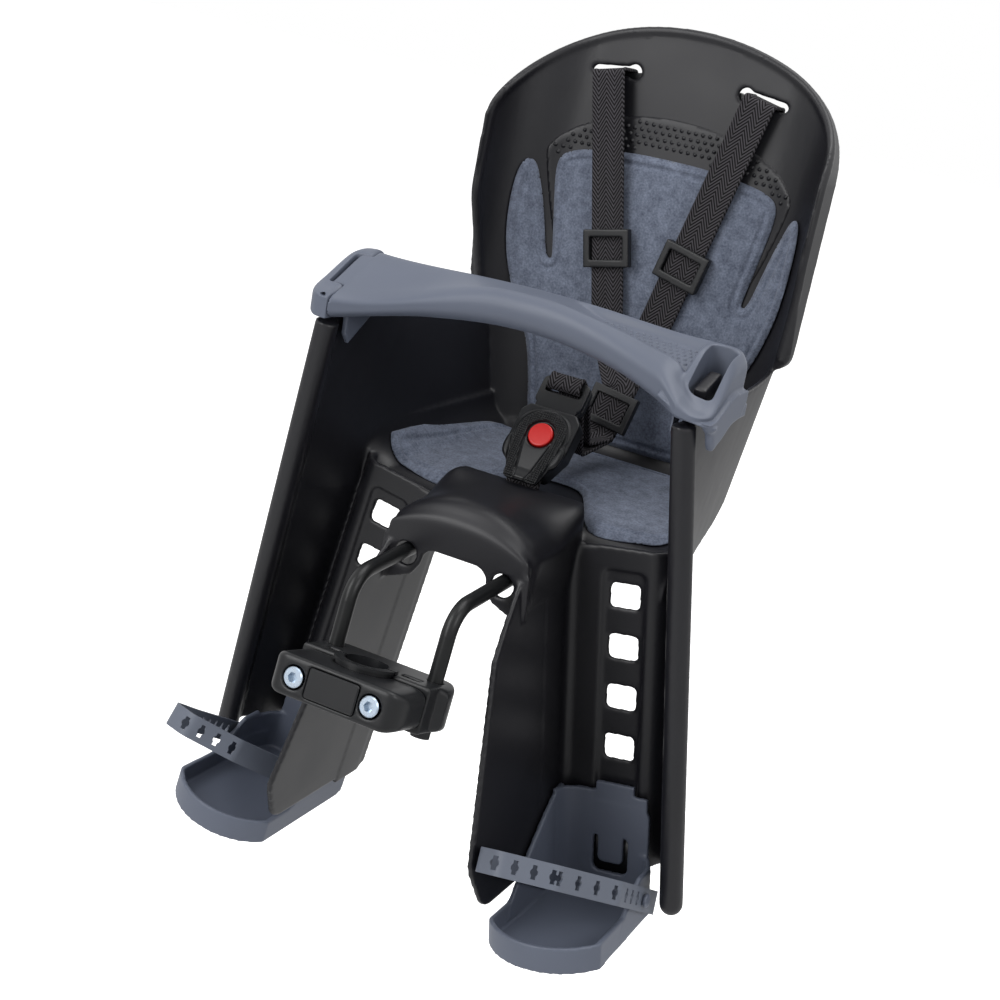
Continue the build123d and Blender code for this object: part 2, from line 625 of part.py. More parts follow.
def buckle_point(up, out):
    """Return the Y and Z of a point in the middle plane of the buckle."""
    lean = math.radians(BUCKLE_LEAN)
    return (
        BUCKLE_BASE[1] + up * math.sin(lean) - out * math.cos(lean),
        BUCKLE_BASE[2] + up * math.cos(lean) + out * math.sin(lean),
    )


def strap_loop(points, lift):
    """Return the slack lower loop of a strap, from its tongue to the end of the straight run."""
    y = BACK_Y - WALL / 2 + (STRAP_LOW_Z - BACK_BASE_Z) * math.tan(math.radians(RECLINE)) - lift
    face = strip([*points, (y, STRAP_LOW_Z + 6)], 2.6, -STRAP_THICKNESS / 2, STRAP_THICKNESS / 2)
    return extrude(Plane.YZ * face, amount=STRAP_WIDTH / 2, both=True)


def shoulder_strap_left():
    """Return the left shoulder strap, whose loop folds over the front tongue."""
    loop = [buckle_point(68, -3), buckle_point(68, 2), buckle_point(79, 2), buckle_point(79, -17), (263, 113),
            (320, 112)]
    return strap_run(-1, LEFT_LIFT, 246.0) + strap_loop(loop, LEFT_LIFT)


def shoulder_strap_right():
    """Return the right shoulder strap, whose loop enters the rear tongue from behind."""
    loop = [buckle_point(68, -8), buckle_point(68, -15), (252, 105), (326, 104)]
    return strap_run(1, RIGHT_LIFT, 246.0) + strap_loop(loop, RIGHT_LIFT)


def slider(lift):
    """Return a strap slider: two rails, two front bars and a rear middle bar."""
    rails = [Pos(x, 0, lift + 0.85) * Box(5, 28, 7.5) for x in (-15.6, 15.6)]
    bars = [Pos(0, y, lift + 2.85) * Box(30, 5.5, 3.5) for y in (-11.25, 11.25)]
    return rails[0] + rails[1] + bars[0] + bars[1] + Pos(0, 0, lift - 2.0) * Box(30, 6, 1.8)


def strap_keeper():
    """Return the bar behind the back that a shoulder strap is turned round."""
    near, far = WALL + FIT, STRAP_TAIL - STRAP_THICKNESS / 2 - FIT
    top = STRAP_THICKNESS / 2 + FIT + 1.1
    return Pos(0, -top - 4, -(near + far) / 2) * Box(STRAP_WIDTH + 19, 8, far - near)


def buckle_body():
    """Return the hollow buckle body."""
    outline = Polygon(
        (-14, 0), (14, 0), (23, 20), (23, 46), (18, 52), (-18, 52), (-23, 46), (-23, 20), align=None
    )
    outline = fillet(outline.vertices(), 4.0)
    body = Pos(0, 0, -13) * extrude(outline, amount=13)
    body = fillet(body.faces().sort_by(Axis.Z)[-1].edges(), 1.2)
    body -= Pos(0, 38, -6.5) * Box(33, 36, 10)
    body -= Pos(0, 5, -6.5) * Box(26.4, 20, 4)
    body -= Pos(0, 30, 0) * Cylinder(9.4, 8)
    return buckle_plane() * body


def tongue(near, far):
    """Return a buckle tongue between two depths, with its webbing slot."""
    outline = Pos(0, 49) * RectangleRounded(31.6, 56, 4) + Pos(0, 66) * RectangleRounded(36, 22, 4)
    outline -= Pos(0, 68) * RectangleRounded(27, 6, 1)
    outline -= Pos(0, 30) * Circle(10.4)
    return buckle_plane() * Pos(0, 0, near) * extrude(outline, amount=far - near)


def buckle_button():
    """Return the red press button."""
    button = Pos(0, 30, -1.5) * Cylinder(9.0, 7)
    button = fillet(button.edges().sort_by(Axis.Z)[-1], 1.2)
    return buckle_plane() * button


def crotch_strap():
    """Return the short strap that ties the buckle to the tunnel."""
    path = [buckle_point(12, -6.5), buckle_point(-4, -6.5), (189.5, 78)]
    face = strip(path, 3.0, -STRAP_THICKNESS / 2, STRAP_THICKNESS / 2)
    return extrude(Plane.YZ * face, amount=STRAP_WIDTH / 2, both=True)


def crotch_keeper():
    """Return the keeper under the tunnel for the crotch strap."""
    return Pos(0, 189.5, 82) * (Box(36, 13, 5) - Box(26, 2.4, 10))


def lower_slider():
    """Return the lower slider on the slack loop of the left strap."""
    return Pos(0, 291, 112.5) * slider(0)


CHEST = Pos(0, -130, 0)
NODES = {
    "seat_shell": seat_shell,
    "back_pad": back_pad,
    "seat_pad": seat_pad,
    "support_bar": support_bar,
    "bar_saddle": bar_saddle,
    "tube_end_plugs": tube_end_plugs,
    "clamp_rear_housing": lambda: on_stem(clamp_rear_housing()),
    "clamp_front_jaw": lambda: on_stem(clamp_front_jaw()),
    "clamp_cover_plate": lambda: on_stem(clamp_cover_plate()),
    "clamp_screws": clamp_screws,
    "clamp_nuts": clamp_nuts,
    "bush_front_half": lambda: on_stem(bush_half(True)),
    "bush_rear_half": lambda: on_stem(bush_half(False)),
    "hinge_cap": hinge_cap,
    "hinge_pin": hinge_pin,
    "safety_bar": safety_bar,
    "left_footrest": lambda: mirror(at_low_step(footrest()), about=Plane.YZ),
    "right_footrest": lambda: at_low_step(footrest()),
    "left_foot_strap": lambda: mirror(at_low_step(foot_strap(LEFT_FOOT_BAND, LEFT_KEYHOLES)), about=Plane.YZ),
    "right_foot_strap": lambda: at_low_step(foot_strap(RIGHT_FOOT_BAND, RIGHT_KEYHOLES)),
    "left_shoulder_strap": shoulder_strap_left,
    "right_shoulder_strap": shoulder_strap_right,
    "left_chest_slider": lambda: on_strap(-1, CHEST * slider(LEFT_LIFT)),
    "right_chest_slider": lambda: on_strap(1, CHEST * slider(RIGHT_LIFT)),
    "lower_slider": lower_slider,
    "left_strap_keeper": lambda: on_strap(-1, strap_keeper()),
    "right_strap_keeper": lambda: on_strap(1, strap_keeper()),
    "buckle_body": buckle_body,
    "front_tongue": lambda: tongue(-6.2, -1.9),
    "rear_tongue": lambda: tongue(-11.1, -6.7),
    "buckle_button": buckle_button,
    "crotch_strap": crotch_strap,
    "crotch_keeper": crotch_keeper,
}

for name, make in NODES.items():
    export_step(make(), f"parts/{name}.step")
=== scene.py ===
"""Dressed scene of a front-mounted child bicycle seat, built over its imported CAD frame."""

import json
import logging
import math
from dataclasses import dataclass, field
from enum import Enum
from typing import Any

import bmesh
import bpy
import numpy as np
from mathutils import Matrix, Vector

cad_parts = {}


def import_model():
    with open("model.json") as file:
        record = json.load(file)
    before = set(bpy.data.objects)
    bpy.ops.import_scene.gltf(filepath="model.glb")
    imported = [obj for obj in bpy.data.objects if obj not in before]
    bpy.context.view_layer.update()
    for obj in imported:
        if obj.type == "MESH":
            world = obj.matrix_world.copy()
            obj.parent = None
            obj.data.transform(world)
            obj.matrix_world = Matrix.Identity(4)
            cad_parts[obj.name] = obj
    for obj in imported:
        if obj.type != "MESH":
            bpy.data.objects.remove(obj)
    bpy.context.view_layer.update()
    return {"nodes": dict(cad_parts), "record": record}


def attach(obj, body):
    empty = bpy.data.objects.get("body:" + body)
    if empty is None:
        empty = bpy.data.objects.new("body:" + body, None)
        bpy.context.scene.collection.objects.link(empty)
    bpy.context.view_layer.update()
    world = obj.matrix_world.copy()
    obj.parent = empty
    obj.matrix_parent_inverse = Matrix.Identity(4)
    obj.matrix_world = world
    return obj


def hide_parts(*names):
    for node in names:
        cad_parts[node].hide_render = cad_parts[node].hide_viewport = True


Array = np.ndarray
Skin = tuple[Array, Array]
Span = tuple[float, float]
Point = tuple[float, float, float]
Outline = tuple[Span, ...]
Socket = bpy.types.NodeSocket

LOG = logging.getLogger("seat")
MM = 0.001
UV_MM = 10.0  # a band's UV counts centimetres
WHITE = (1.0, 1.0, 1.0, 1.0)
X_AXIS, Y_AXIS, Z_AXIS = np.eye(3)


def linear(hex_colour: str) -> tuple[float, float, float, float]:
    """Turn an sRGB hex value into linear RGBA.

    Args:
        hex_colour: colour as "#rrggbb".

    Returns:
        Linear red, green, blue and an alpha of one.
    """
    channels = [int(hex_colour[i : i + 2], 16) / 255 for i in (1, 3, 5)]
    values = [c / 12.92 if c <= 0.04045 else ((c + 0.055) / 1.055) ** 2.4 for c in channels]
    return values[0], values[1], values[2], 1.0


def add(
    tree: bpy.types.NodeTree, kind: str, inputs: dict[Any, Any] | None = None, **settings: Any
) -> bpy.types.Node:
    """Add one shader node with its settings, values and links.

    Args:
        tree: node tree that takes the node.
        kind: node type name.
        inputs: socket name or index to a value, or to an output socket that is linked.
        settings: attributes of the node.

    Returns:
        The new node.
    """
    node = tree.nodes.new(kind)
    for key, value in settings.items():
        setattr(node, key, value)
    for key, value in (inputs or {}).items():
        if isinstance(value, Socket):
            tree.links.new(value, node.inputs[key])
        else:
            node.inputs[key].default_value = value
    return node


def unit(rows: Array) -> Array:
    """Return rows scaled to a length of one."""
    return rows / np.linalg.norm(rows, axis=1, keepdims=True)


def smoothstep(value: Array, start: float, end: float) -> Array:
    """Return a smooth ramp from 0 at start to 1 at end: 3 t squared less 2 t cubed."""
    t = np.clip((value - start) / (end - start), 0, 1)
    return t * t * (3 - 2 * t)


def fade(value: Array, start: float, end: float) -> Array:
    """Return a smooth ramp from 1 at start to 0 at end: one less the smooth step."""
    return 1 - smoothstep(value, start, end)


def line_at(line: Outline, at: Array) -> Array:
    """Return the second coordinate of a polyline where its first is as given."""
    return np.interp(at, *np.array(line, float).T)


def patch(name: str, points: Array, faces: Array, uv: Array | None = None) -> bpy.types.Object:
    """Make a smooth mesh object from whole arrays.

    Args:
        name: object name.
        points: vertex places in millimetres, one row each.
        faces: vertex numbers of the quads, one row each.
        uv: optional UV pair of each vertex.

    Returns:
        The linked object, at the origin.
    """
    mesh = bpy.data.meshes.new(name)
    points, faces = np.asarray(points, np.float32), np.asarray(faces, np.int32)
    starts = np.arange(0, faces.size, faces.shape[1], dtype=np.int32)
    mesh.vertices.add(len(points))
    mesh.vertices.foreach_set("co", (points * MM).ravel())
    mesh.loops.add(faces.size)
    mesh.loops.foreach_set("vertex_index", faces.ravel())
    mesh.polygons.add(len(faces))
    mesh.polygons.foreach_set("loop_start", starts)
    mesh.polygons.foreach_set("use_smooth", np.ones(len(faces), bool))
    if uv is not None:
        layer = mesh.uv_layers.new(name="band")
        layer.data.foreach_set("uv", np.asarray(uv, np.float32)[faces.ravel()].ravel())
    mesh.update(calc_edges=True)
    mesh.validate()
    piece = bpy.data.objects.new(name, mesh)
    bpy.context.scene.collection.objects.link(piece)
    return piece


def grid_quads(rows: int, columns: int, ring: bool = False) -> Array:
    """Number the quads of a grid of points stored row by row.

    Args:
        rows: number of rows.
        columns: number of points in a row.
        ring: whether each row closes on itself.

    Returns:
        Vertex numbers, four to a quad.
    """
    across = np.arange(columns if ring else columns - 1)
    i, j = np.meshgrid(np.arange(rows - 1), across, indexing="ij")
    k = (j + 1) % columns
    low, high = i * columns, (i + 1) * columns
    return np.stack([low + j, low + k, high + k, high + j], -1).reshape(-1, 4)


def round_profile(radius: float, sides: int = 12) -> Array:
    """Return a round profile: points evenly spaced on a circle."""
    angle = np.linspace(0, 2 * np.pi, sides, endpoint=False)
    return radius * np.stack([np.cos(angle), np.sin(angle)], -1)


def swept(path: Array, across: Array, profile: Array) -> Skin:
    """Carry a closed profile along a path: point = path + u times across + v times normal.

    Args:
        path: centre points, one row each.
        across: direction of the profile's u, one for all points or one row each.
        profile: closed outline as (u, v) rows, anticlockwise seen against the path.

    Returns:
        The points and the quads, with both ends closed by quads that fold the ring flat.
    """
    along = unit(np.gradient(path, axis=0))
    across = np.broadcast_to(across, path.shape)
    across = unit(across - along * np.sum(across * along, 1, keepdims=True))
    normal = np.cross(along, across)
    count = len(profile)
    points = path[:, None] + across[:, None] * profile[None, :, :1]
    points = points + normal[:, None] * profile[None, :, 1:]
    quads = grid_quads(len(path), count, ring=True)
    k = np.arange(count // 2 - 1)
    first = np.stack([k, count - 1 - k, count - 2 - k, k + 1], -1)
    last = first[:, ::-1] + (len(path) - 1) * count
    return points.reshape(-1, 3), np.concatenate([quads, first, last])


def run_length(line: Array) -> Array:
    """Return the length along a polyline at each of its points."""
    return np.r_[0, np.cumsum(np.linalg.norm(np.diff(line[:, :3], axis=0), axis=1))]


def even_path(corners: Any, step: float, soften: int = 2) -> Array:
    """Resample a polyline at an even step and soften its corners by averaging neighbours.

    Args:
        corners: polyline points, one row each, with any further values after x, y and z.
        step: spacing along the line.
        soften: number of averaging passes.

    Returns:
        The softened points.
    """
    corners = np.asarray(corners, float)
    length = run_length(corners)
    at = np.linspace(0, length[-1], int(length[-1] / step) + 2)
    line = np.stack([np.interp(at, length, column) for column in corners.T], -1)
    for _ in range(soften):
        line[1:-1] = 0.25 * line[:-2] + 0.5 * line[1:-1] + 0.25 * line[2:]
    return line


def mirrored_outline(half: Outline, passes: int = 3) -> Array:
    """Mirror a half outline in x, then cut each corner at the quarter points, several times.

    Args:
        half: (x, y) points of the right half, from one end of the middle line to the other.
        passes: number of times that the corners are cut.

    Returns:
        The closed outline as (x, y) rows.
    """
    right = np.array(half, float)
    left = right[::-1] * (-1, 1)
    line = np.concatenate([right, left[left[:, 0] < -1e-6]])
    for _ in range(passes):
        after = np.roll(line, -1, axis=0)
        cut = [0.75 * line + 0.25 * after, 0.25 * line + 0.75 * after]
        line = np.stack(cut, 1).reshape(-1, 2)
    return line


def inside_depth(points: Array, outline: Array) -> Array:
    """Signed distance from a closed outline: the least distance to its edges, positive inside.

    Args:
        points: (x, y) rows.
        outline: closed polygon as (x, y) rows.

    Returns:
        One distance for each point.
    """
    tiny = 1e-9
    a, b = outline, np.roll(outline, -1, axis=0)
    e, w = (b - a)[None], points[:, None] - a[None]
    t = np.clip(np.sum(w * e, -1) / np.maximum(np.sum(e * e, -1), tiny), 0, 1)
    far = np.sqrt(np.min(np.sum((w - e * t[..., None]) ** 2, -1), 1))
    above = (a[None, :, 1] > points[:, None, 1]) != (b[None, :, 1] > points[:, None, 1])
    rise = np.where(np.abs(e[..., 1]) < tiny, tiny, e[..., 1])
    crossing = w[..., 0] < w[..., 1] * e[..., 0] / rise
    odd = np.sum(above & crossing, 1) % 2 == 1
    return np.where(odd, far, -far)


def outline_sheet(outline: Array, pitch: float, hole: Point | None = None) -> tuple[Array, ...]:
    """Fill an outline with a square grid whose rim points are drawn onto the outline.

    Args:
        outline: closed polygon as (x, y) rows.
        pitch: grid spacing.
        hole: optional round hole as x, y and radius.

    Returns:
        The (x, y) points, their depth inside the outline and the quads.
    """
    drawn, kept, middle = 0.45 * pitch, -0.95 * pitch, -0.1 * pitch
    low, high = outline.min(0) - pitch, outline.max(0) + pitch
    xs, ys = (np.arange(low[i], high[i] + pitch, pitch) for i in range(2))
    points = np.stack(np.meshgrid(xs, ys, indexing="xy"), -1).reshape(-1, 2)
    depth = inside_depth(points, outline)
    if hole is not None:
        depth = np.minimum(depth, np.linalg.norm(points - hole[:2], axis=1) - hole[2])
    rise = np.gradient(depth.reshape(len(ys), len(xs)), pitch)
    slope = np.stack(rise[::-1], -1).reshape(-1, 2)
    slope /= np.maximum(np.linalg.norm(slope, axis=1, keepdims=True), 1e-6)
    near = depth < drawn
    points = np.where(near[:, None], points - slope * depth[:, None], points)
    quads = grid_quads(len(ys), len(xs))
    quads = quads[np.all(depth[quads] > kept, 1) & (np.mean(depth[quads], 1) > middle)]
    used, renumber = np.unique(quads, return_inverse=True)
    return points[used], np.where(near, 0, depth)[used], renumber.reshape(-1, 4)


def closed_slab(front: Array, back: Array, quads: Array) -> Skin:
    """Close two matching sheets into one solid skin with a wall round their shared rim.

    Args:
        front: points of the outer sheet.
        back: points of the inner sheet, in the same order.
        quads: quads of the outer sheet, facing outwards.

    Returns:
        The points and quads of the closed skin.
    """
    edges = np.concatenate([quads[:, [i, (i + 1) % 4]] for i in range(4)])
    key = np.sort(edges, 1)
    _, where, count = np.unique(key, axis=0, return_index=True, return_counts=True)
    rim = edges[where[count == 1]]
    shift = len(front)
    wall = np.stack([rim[:, 1], rim[:, 0], rim[:, 0] + shift, rim[:, 1] + shift], -1)
    return np.concatenate([front, back]), np.concatenate([quads, quads[:, ::-1] + shift, wall])


def staggered(start: Span, rows: int, columns: range, pitch: float) -> Array:
    """Lay points in rows of equal triangles: every other row is shifted by half a pitch.

    Args:
        start: x of column 0 and y of row 0.
        rows: number of rows.
        columns: column numbers.
        pitch: spacing of the points.

    Returns:
        The points as (x, y) rows.
    """
    row, column = np.meshgrid(np.arange(rows), np.array(columns), indexing="ij")
    x = start[0] + (column + 0.5 * (row % 2)) * pitch
    y = start[1] + row * pitch * 0.866
    return np.stack([x, y], -1).reshape(-1, 2)


def domes(centres: Array, outward: Array, axis: Array, radius: float, height: float) -> Skin:
    """Raise a low round dome on each centre: rings of points whose height falls as a cosine.

    Args:
        centres: dome centres, one row each.
        outward: outward direction at each centre, of any length.
        axis: direction that the first point of each ring lies square to.
        radius: dome radius.
        height: dome height.

    Returns:
        The points and the quads.
    """
    sides, sunk = 8, 0.15
    level = np.array([1.0, 0.72, 0.36, 0.02])
    turn = np.linspace(0, 2 * np.pi, sides, endpoint=False)
    normal = unit(outward)
    across = unit(np.cross(normal, axis))
    side = np.cross(normal, across)
    ring = across[:, None] * np.cos(turn)[:, None] + side[:, None] * np.sin(turn)[:, None]
    rise = height * np.cos(level * np.pi / 2) - sunk
    points = centres[:, None, None] + ring[:, None] * (radius * level)[:, None, None]
    points = points + normal[:, None, None] * rise[:, None, None]
    one = grid_quads(len(level), sides, ring=True)
    quads = one[None] + (np.arange(len(centres)) * sides * len(level))[:, None, None]
    return points.reshape(-1, 3), quads.reshape(-1, 4)


class Surface:
    """A Principled material in the making, with the node chains that the finishes share."""

    def __init__(self, name: str, plain: dict[str, Any]) -> None:
        """Start an empty node material.

        Args:
            name: material name.
            plain: values of shader inputs that are the same all over.
        """
        self.material = bpy.data.materials.new(name)
        self.material.use_nodes = True
        self.tree = self.material.node_tree
        self.tree.nodes.clear()
        self.shader = add(self.tree, "ShaderNodeBsdfPrincipled", plain)
        add(self.tree, "ShaderNodeOutputMaterial", {"Surface": self.shader.outputs["BSDF"]})

    def link(self, value: Socket, name: str) -> None:
        """Link a value to an input of the shader."""
        self.tree.links.new(value, self.shader.inputs[name])

    def noise(self, grain_mm: float, detail: float) -> Socket:
        """Return noise in Object coordinates with grains of a given size.

        Args:
            grain_mm: size of a grain.
            detail: number of finer octaves.

        Returns:
            The noise value.
        """
        place = add(self.tree, "ShaderNodeTexCoord").outputs["Object"]
        values = {"Vector": place, "Scale": 1 / (grain_mm * MM), "Detail": detail}
        return add(self.tree, "ShaderNodeTexNoise", values).outputs["Fac"]

    def compute(self, operation: str, *values: Any) -> Socket:
        """Return the result of one Math node."""
        inputs = dict(enumerate(values))
        return add(self.tree, "ShaderNodeMath", inputs, operation=operation).outputs[0]

    def ramp(self, value: Socket, source: Span, target: Span = (0.0, 1.0)) -> Socket:
        """Return a value carried from one range to another."""
        ends = zip(("From Min", "From Max", "To Min", "To Max"), (*source, *target))
        return add(self.tree, "ShaderNodeMapRange", {"Value": value, **dict(ends)}).outputs[0]

    def tint(self, share: Socket, first: str, second: str) -> None:
        """Colour the surface by a mix of two hex colours."""
        mix = {"Factor": share, 6: linear(first), 7: linear(second)}
        self.link(add(self.tree, "ShaderNodeMix", mix, data_type="RGBA").outputs[2], "Base Color")

    def rough(self, share: Socket, span: Span) -> None:
        """Spread the roughness over a span."""
        self.link(self.ramp(share, (0.0, 1.0), span), "Roughness")

    def bump(self, height: Socket, strength: float, depth_mm: float) -> None:
        """Press a height into the shading normal."""
        values = {"Height": height, "Strength": strength, "Distance": depth_mm * MM}
        self.link(add(self.tree, "ShaderNodeBump", values).outputs["Normal"], "Normal")


@dataclass(frozen=True)
class MouldedPlastic:
    """Injection-moulded polymer: an even colour under a fine eroded grain, dulled in patches."""

    name: str
    colour: str
    shade: str
    roughness: float = 0.5
    grain_mm: float = 0.8
    depth_mm: float = 0.02
    coat: float = 0.0
    specular: float = 0.5
    patch_mm: float = 45.0
    strength: float = 0.35
    index: float = 1.49
    spread: Span = (-0.05, 0.07)

    def material(self) -> bpy.types.Material:
        """Make the material: noise grain drives the bump, soft patches the colour and roughness.

        Returns:
            The material.
        """
        plain = {"IOR": self.index, "Coat Weight": self.coat, "Specular IOR Level": self.specular}
        surface = Surface(self.name, plain)
        cloud = surface.noise(self.patch_mm, 3.0)
        surface.tint(cloud, self.colour, self.shade)
        low, high = self.spread
        surface.rough(cloud, (self.roughness + low, self.roughness + high))
        surface.bump(surface.noise(self.grain_mm, 2.0), self.strength, self.depth_mm)
        return surface.material


@dataclass(frozen=True)
class Felt:
    """Needle-felted polyester over foam: blue-grey mottled fibres, dry, with a faint nap sheen."""

    name: str = "felted_polyester"
    dark: str = "#464c5b"
    light: str = "#7d8596"
    clump_mm: float = 8.0
    fibre_mm: float = 1.5
    clump_share: float = 0.8
    mottle: Span = (0.55, 1.25)
    roughness: Span = (0.85, 1.0)
    strength: float = 0.4
    depth_mm: float = 0.2
    sheen: float = 0.15
    specular: float = 0.2

    def material(self) -> bpy.types.Material:
        """Make the material: clumps and fibres of noise mix two greys and roughen the surface.

        Returns:
            The material.
        """
        plain = {"Sheen Weight": self.sheen, "Specular IOR Level": self.specular}
        surface = Surface(self.name, plain)
        clump, fibre = surface.noise(self.clump_mm, 6.0), surface.noise(self.fibre_mm, 4.0)
        both = surface.compute("MULTIPLY_ADD", clump, self.clump_share, fibre)
        surface.tint(surface.ramp(both, self.mottle), self.dark, self.light)
        surface.rough(fibre, self.roughness)
        surface.bump(both, self.strength, self.depth_mm)
        return surface.material


@dataclass(frozen=True)
class Webbing:
    """Woven polyester webbing: a herringbone of fine ribs, near black with a dull lustre."""

    name: str = "woven_polyester_webbing"
    dark: str = "#020202"
    light: str = "#4c4a4e"
    rib_mm: float = 3.4
    panel_mm: float = 6.25
    slant: float = 1.5
    roughness: Span = (0.8, 0.6)
    strength: float = 1.0
    depth_mm: float = 0.5
    specular: float = 0.12

    def material(self) -> bpy.types.Material:
        """Make the material: ribs run along v, shifted by a ping-pong of u into chevrons.

        Returns:
            The material.
        """
        surface = Surface(self.name, {"Specular IOR Level": self.specular})
        uv = add(surface.tree, "ShaderNodeUVMap", uv_map="band").outputs["UV"]
        split = add(surface.tree, "ShaderNodeSeparateXYZ", {0: uv}).outputs
        zigzag = surface.compute("PINGPONG", split[0], self.panel_mm / UV_MM)
        chevron = surface.compute("MULTIPLY_ADD", zigzag, self.slant, split[1])
        phase = surface.compute("MULTIPLY", chevron, 2 * math.pi * UV_MM / self.rib_mm)
        rib = surface.ramp(surface.compute("SINE", phase), (-1.0, 1.0))
        surface.tint(rib, self.dark, self.light)
        surface.rough(rib, self.roughness)
        surface.bump(rib, self.strength, self.depth_mm)
        return surface.material


@dataclass(frozen=True)
class ZincPlate:
    """Zinc-plated steel: bright cool metal with a faint blue passivation and fine turning haze."""

    name: str = "zinc_plated_steel"
    colour: str = "#c3ccd6"
    blue: str = "#9fb2c6"
    patch_mm: float = 3.0
    roughness: Span = (0.2, 0.4)

    def material(self) -> bpy.types.Material:
        """Make the material: noise patches tint the metal and vary its haze.

        Returns:
            The material.
        """
        surface = Surface(self.name, {"Metallic": 1.0})
        cloud = surface.noise(self.patch_mm, 3.0)
        surface.tint(cloud, self.colour, self.blue)
        surface.rough(cloud, self.roughness)
        return surface.material


class Slot(Enum):
    """The material slots of the record, each with the finish that dresses it."""

    SHELL = (
        "shell_black",
        MouldedPlastic("black_polypropylene", "#121216", "#17171c", 0.4, specular=0.4),
    )
    PAD = ("pad_grey", Felt())
    BAR = (
        "bar_grey",
        MouldedPlastic("slate_polypropylene", "#575d6b", "#5f6573", 0.42, 0.7, specular=0.35),
    )
    STEEL = (
        "steel_black",
        MouldedPlastic("black_powder_coat", "#0e0f10", "#131415", 0.34, 0.6, specular=0.3),
    )
    BLACK = (
        "plastic_black",
        MouldedPlastic("black_nylon", "#101113", "#151619", 0.36, 0.6, specular=0.35),
    )
    ZINC = ("screw_zinc", ZincPlate())
    WEBBING = ("webbing", Webbing())
    RUBBER = ("rubber_grey", MouldedPlastic("grey_rubber", "#585e6a", "#616774", 0.5, 0.6))
    RED = ("button_red", MouldedPlastic("red_acetal", "#bd0f0c", "#c41512", 0.32, 1.2, 0.01, 0.1))

    @property
    def label(self) -> str:
        """Return the slot name in the record."""
        return self.value[0]


class Dresser:
    """Makes each finish once and puts it on pieces."""

    def __init__(self) -> None:
        """Make the materials of all slots."""
        self.made = {slot: slot.value[1].material() for slot in Slot}

    def dress(
        self, piece: bpy.types.Object, slot: Slot, body: str, *nodes: str
    ) -> bpy.types.Object:
        """Finish a new piece and tie it to its body and CAD nodes.

        Args:
            piece: the object.
            slot: material slot.
            body: CAD body that it rides on.
            nodes: CAD nodes that it stands for.

        Returns:
            The same object.
        """
        self.carry_over(piece, slot)
        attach(piece, body)
        if nodes:
            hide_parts(*nodes)
        LOG.info("%s: %d faces", piece.name, len(piece.data.polygons))
        return piece

    def carry_over(self, node: bpy.types.Object, slot: Slot) -> None:
        """Put the slot's finish on an object, such as a CAD node that stays in view."""
        node.data.materials.clear()
        node.data.materials.append(self.made[slot])


@dataclass
class SeatForm:
    """The shared surfaces of the seat: reclined back and dished pan, in millimetres."""

    back_y: float = 337.0
    base_z: float = 76.0
    wall: float = 4.0
    recline: float = math.radians(4.0)
    bend_x: float = 71.4
    bend_y: float = 279.0
    corner: float = 58.0
    pan_front: Span = (178.5, 74.0)
    pan_rear: Span = (338.4, 86.0)
    cove: float = 26.0
    cove_share: float = 0.93
    nose: float = 20.0
    nose_run: float = 18.0
    wall_line: Outline = (
        (150.0, 137.0), (175.0, 129.0), (200.0, 122.2), (225.0, 117.5), (250.0, 112.8),
        (300.0, 104.3), (335.0, 98.0),
    )

    def lean(self, z: Array | float) -> Array | float:
        """Return how far the recline carries the back to the rear at a height."""
        return (z - self.base_z) * math.tan(self.recline)

    def back(self, x: Array, z: Array, lift: Array | float) -> Array:
        """Place points over the back: flat in the middle, a circle arc towards each wing.

        Args:
            x: places across.
            z: heights.
            lift: distance off the inner face.

        Returns:
            The points, one row each.
        """
        radius = self.corner - self.wall / 2 - lift
        past = np.clip(np.abs(x) - self.bend_x, 0, None)
        arc = np.sqrt(np.maximum(radius**2 - past**2, 1.0))
        return np.stack([x, self.bend_y + arc + self.lean(z), z], -1)

    def wall_x(self, y: Array) -> Array:
        """Return the half width between the side walls at the height of the pan."""
        return line_at(self.wall_line, y)

    def pan(self, x: Array, y: Array, lift: Array | float) -> Array:
        """Place points over the pan: a sloped plane that rises as a circle arc beside each wall.

        Args:
            x: places across.
            y: places from front to rear.
            lift: distance off the upper face.

        Returns:
            The points, one row each.
        """
        (y0, z0), (y1, z1) = self.pan_front, self.pan_rear
        inner = self.wall_x(y) - self.cove
        run = np.clip(np.abs(x) - inner, 0, self.cove_share * self.cove)
        rise = self.cove - np.sqrt(self.cove**2 - run**2)
        round_off = np.clip(y0 + self.nose - y, 0, self.nose_run)
        drop = self.nose - np.sqrt(self.nose**2 - round_off**2)
        z = z0 + (z1 - z0) * (y - y0) / (y1 - y0) + self.wall / 2 + rise - drop
        tilt = run / self.cove * np.sign(x)
        return np.stack([x - tilt * lift, y, z + np.sqrt(1 - tilt**2) * lift], -1)


def settle(piece: bpy.types.Object) -> None:
    """Apply the piece's modifiers to its mesh.

    Args:
        piece: the object.
    """
    graph = bpy.context.evaluated_depsgraph_get()
    mesh = bpy.data.meshes.new_from_object(piece.evaluated_get(graph))
    piece.modifiers.clear()
    piece.data = mesh


def relax(points: Array, edges: Array, weight: Array, passes: int) -> Array:
    """Smooth part of a mesh: each pass draws a point to its neighbours' mean by half its weight.

    Args:
        points: vertex places.
        edges: vertex pairs.
        weight: share of smoothing at each vertex, 0 to 1.
        passes: number of passes.

    Returns:
        The smoothed places.
    """
    near = edges[np.any(weight[edges] > 0, 1)]
    ends, others = np.r_[near[:, 0], near[:, 1]], np.r_[near[:, 1], near[:, 0]]
    size = len(points)
    number = np.bincount(ends, minlength=size)
    count = np.maximum(number, 1)[:, None]
    pull = (0.5 * weight * (number > 0))[:, None]
    for _ in range(passes):
        total = [np.bincount(ends, points[others, i], size) for i in range(3)]
        points = points + pull * (np.stack(total, -1) / count - points)
    return points


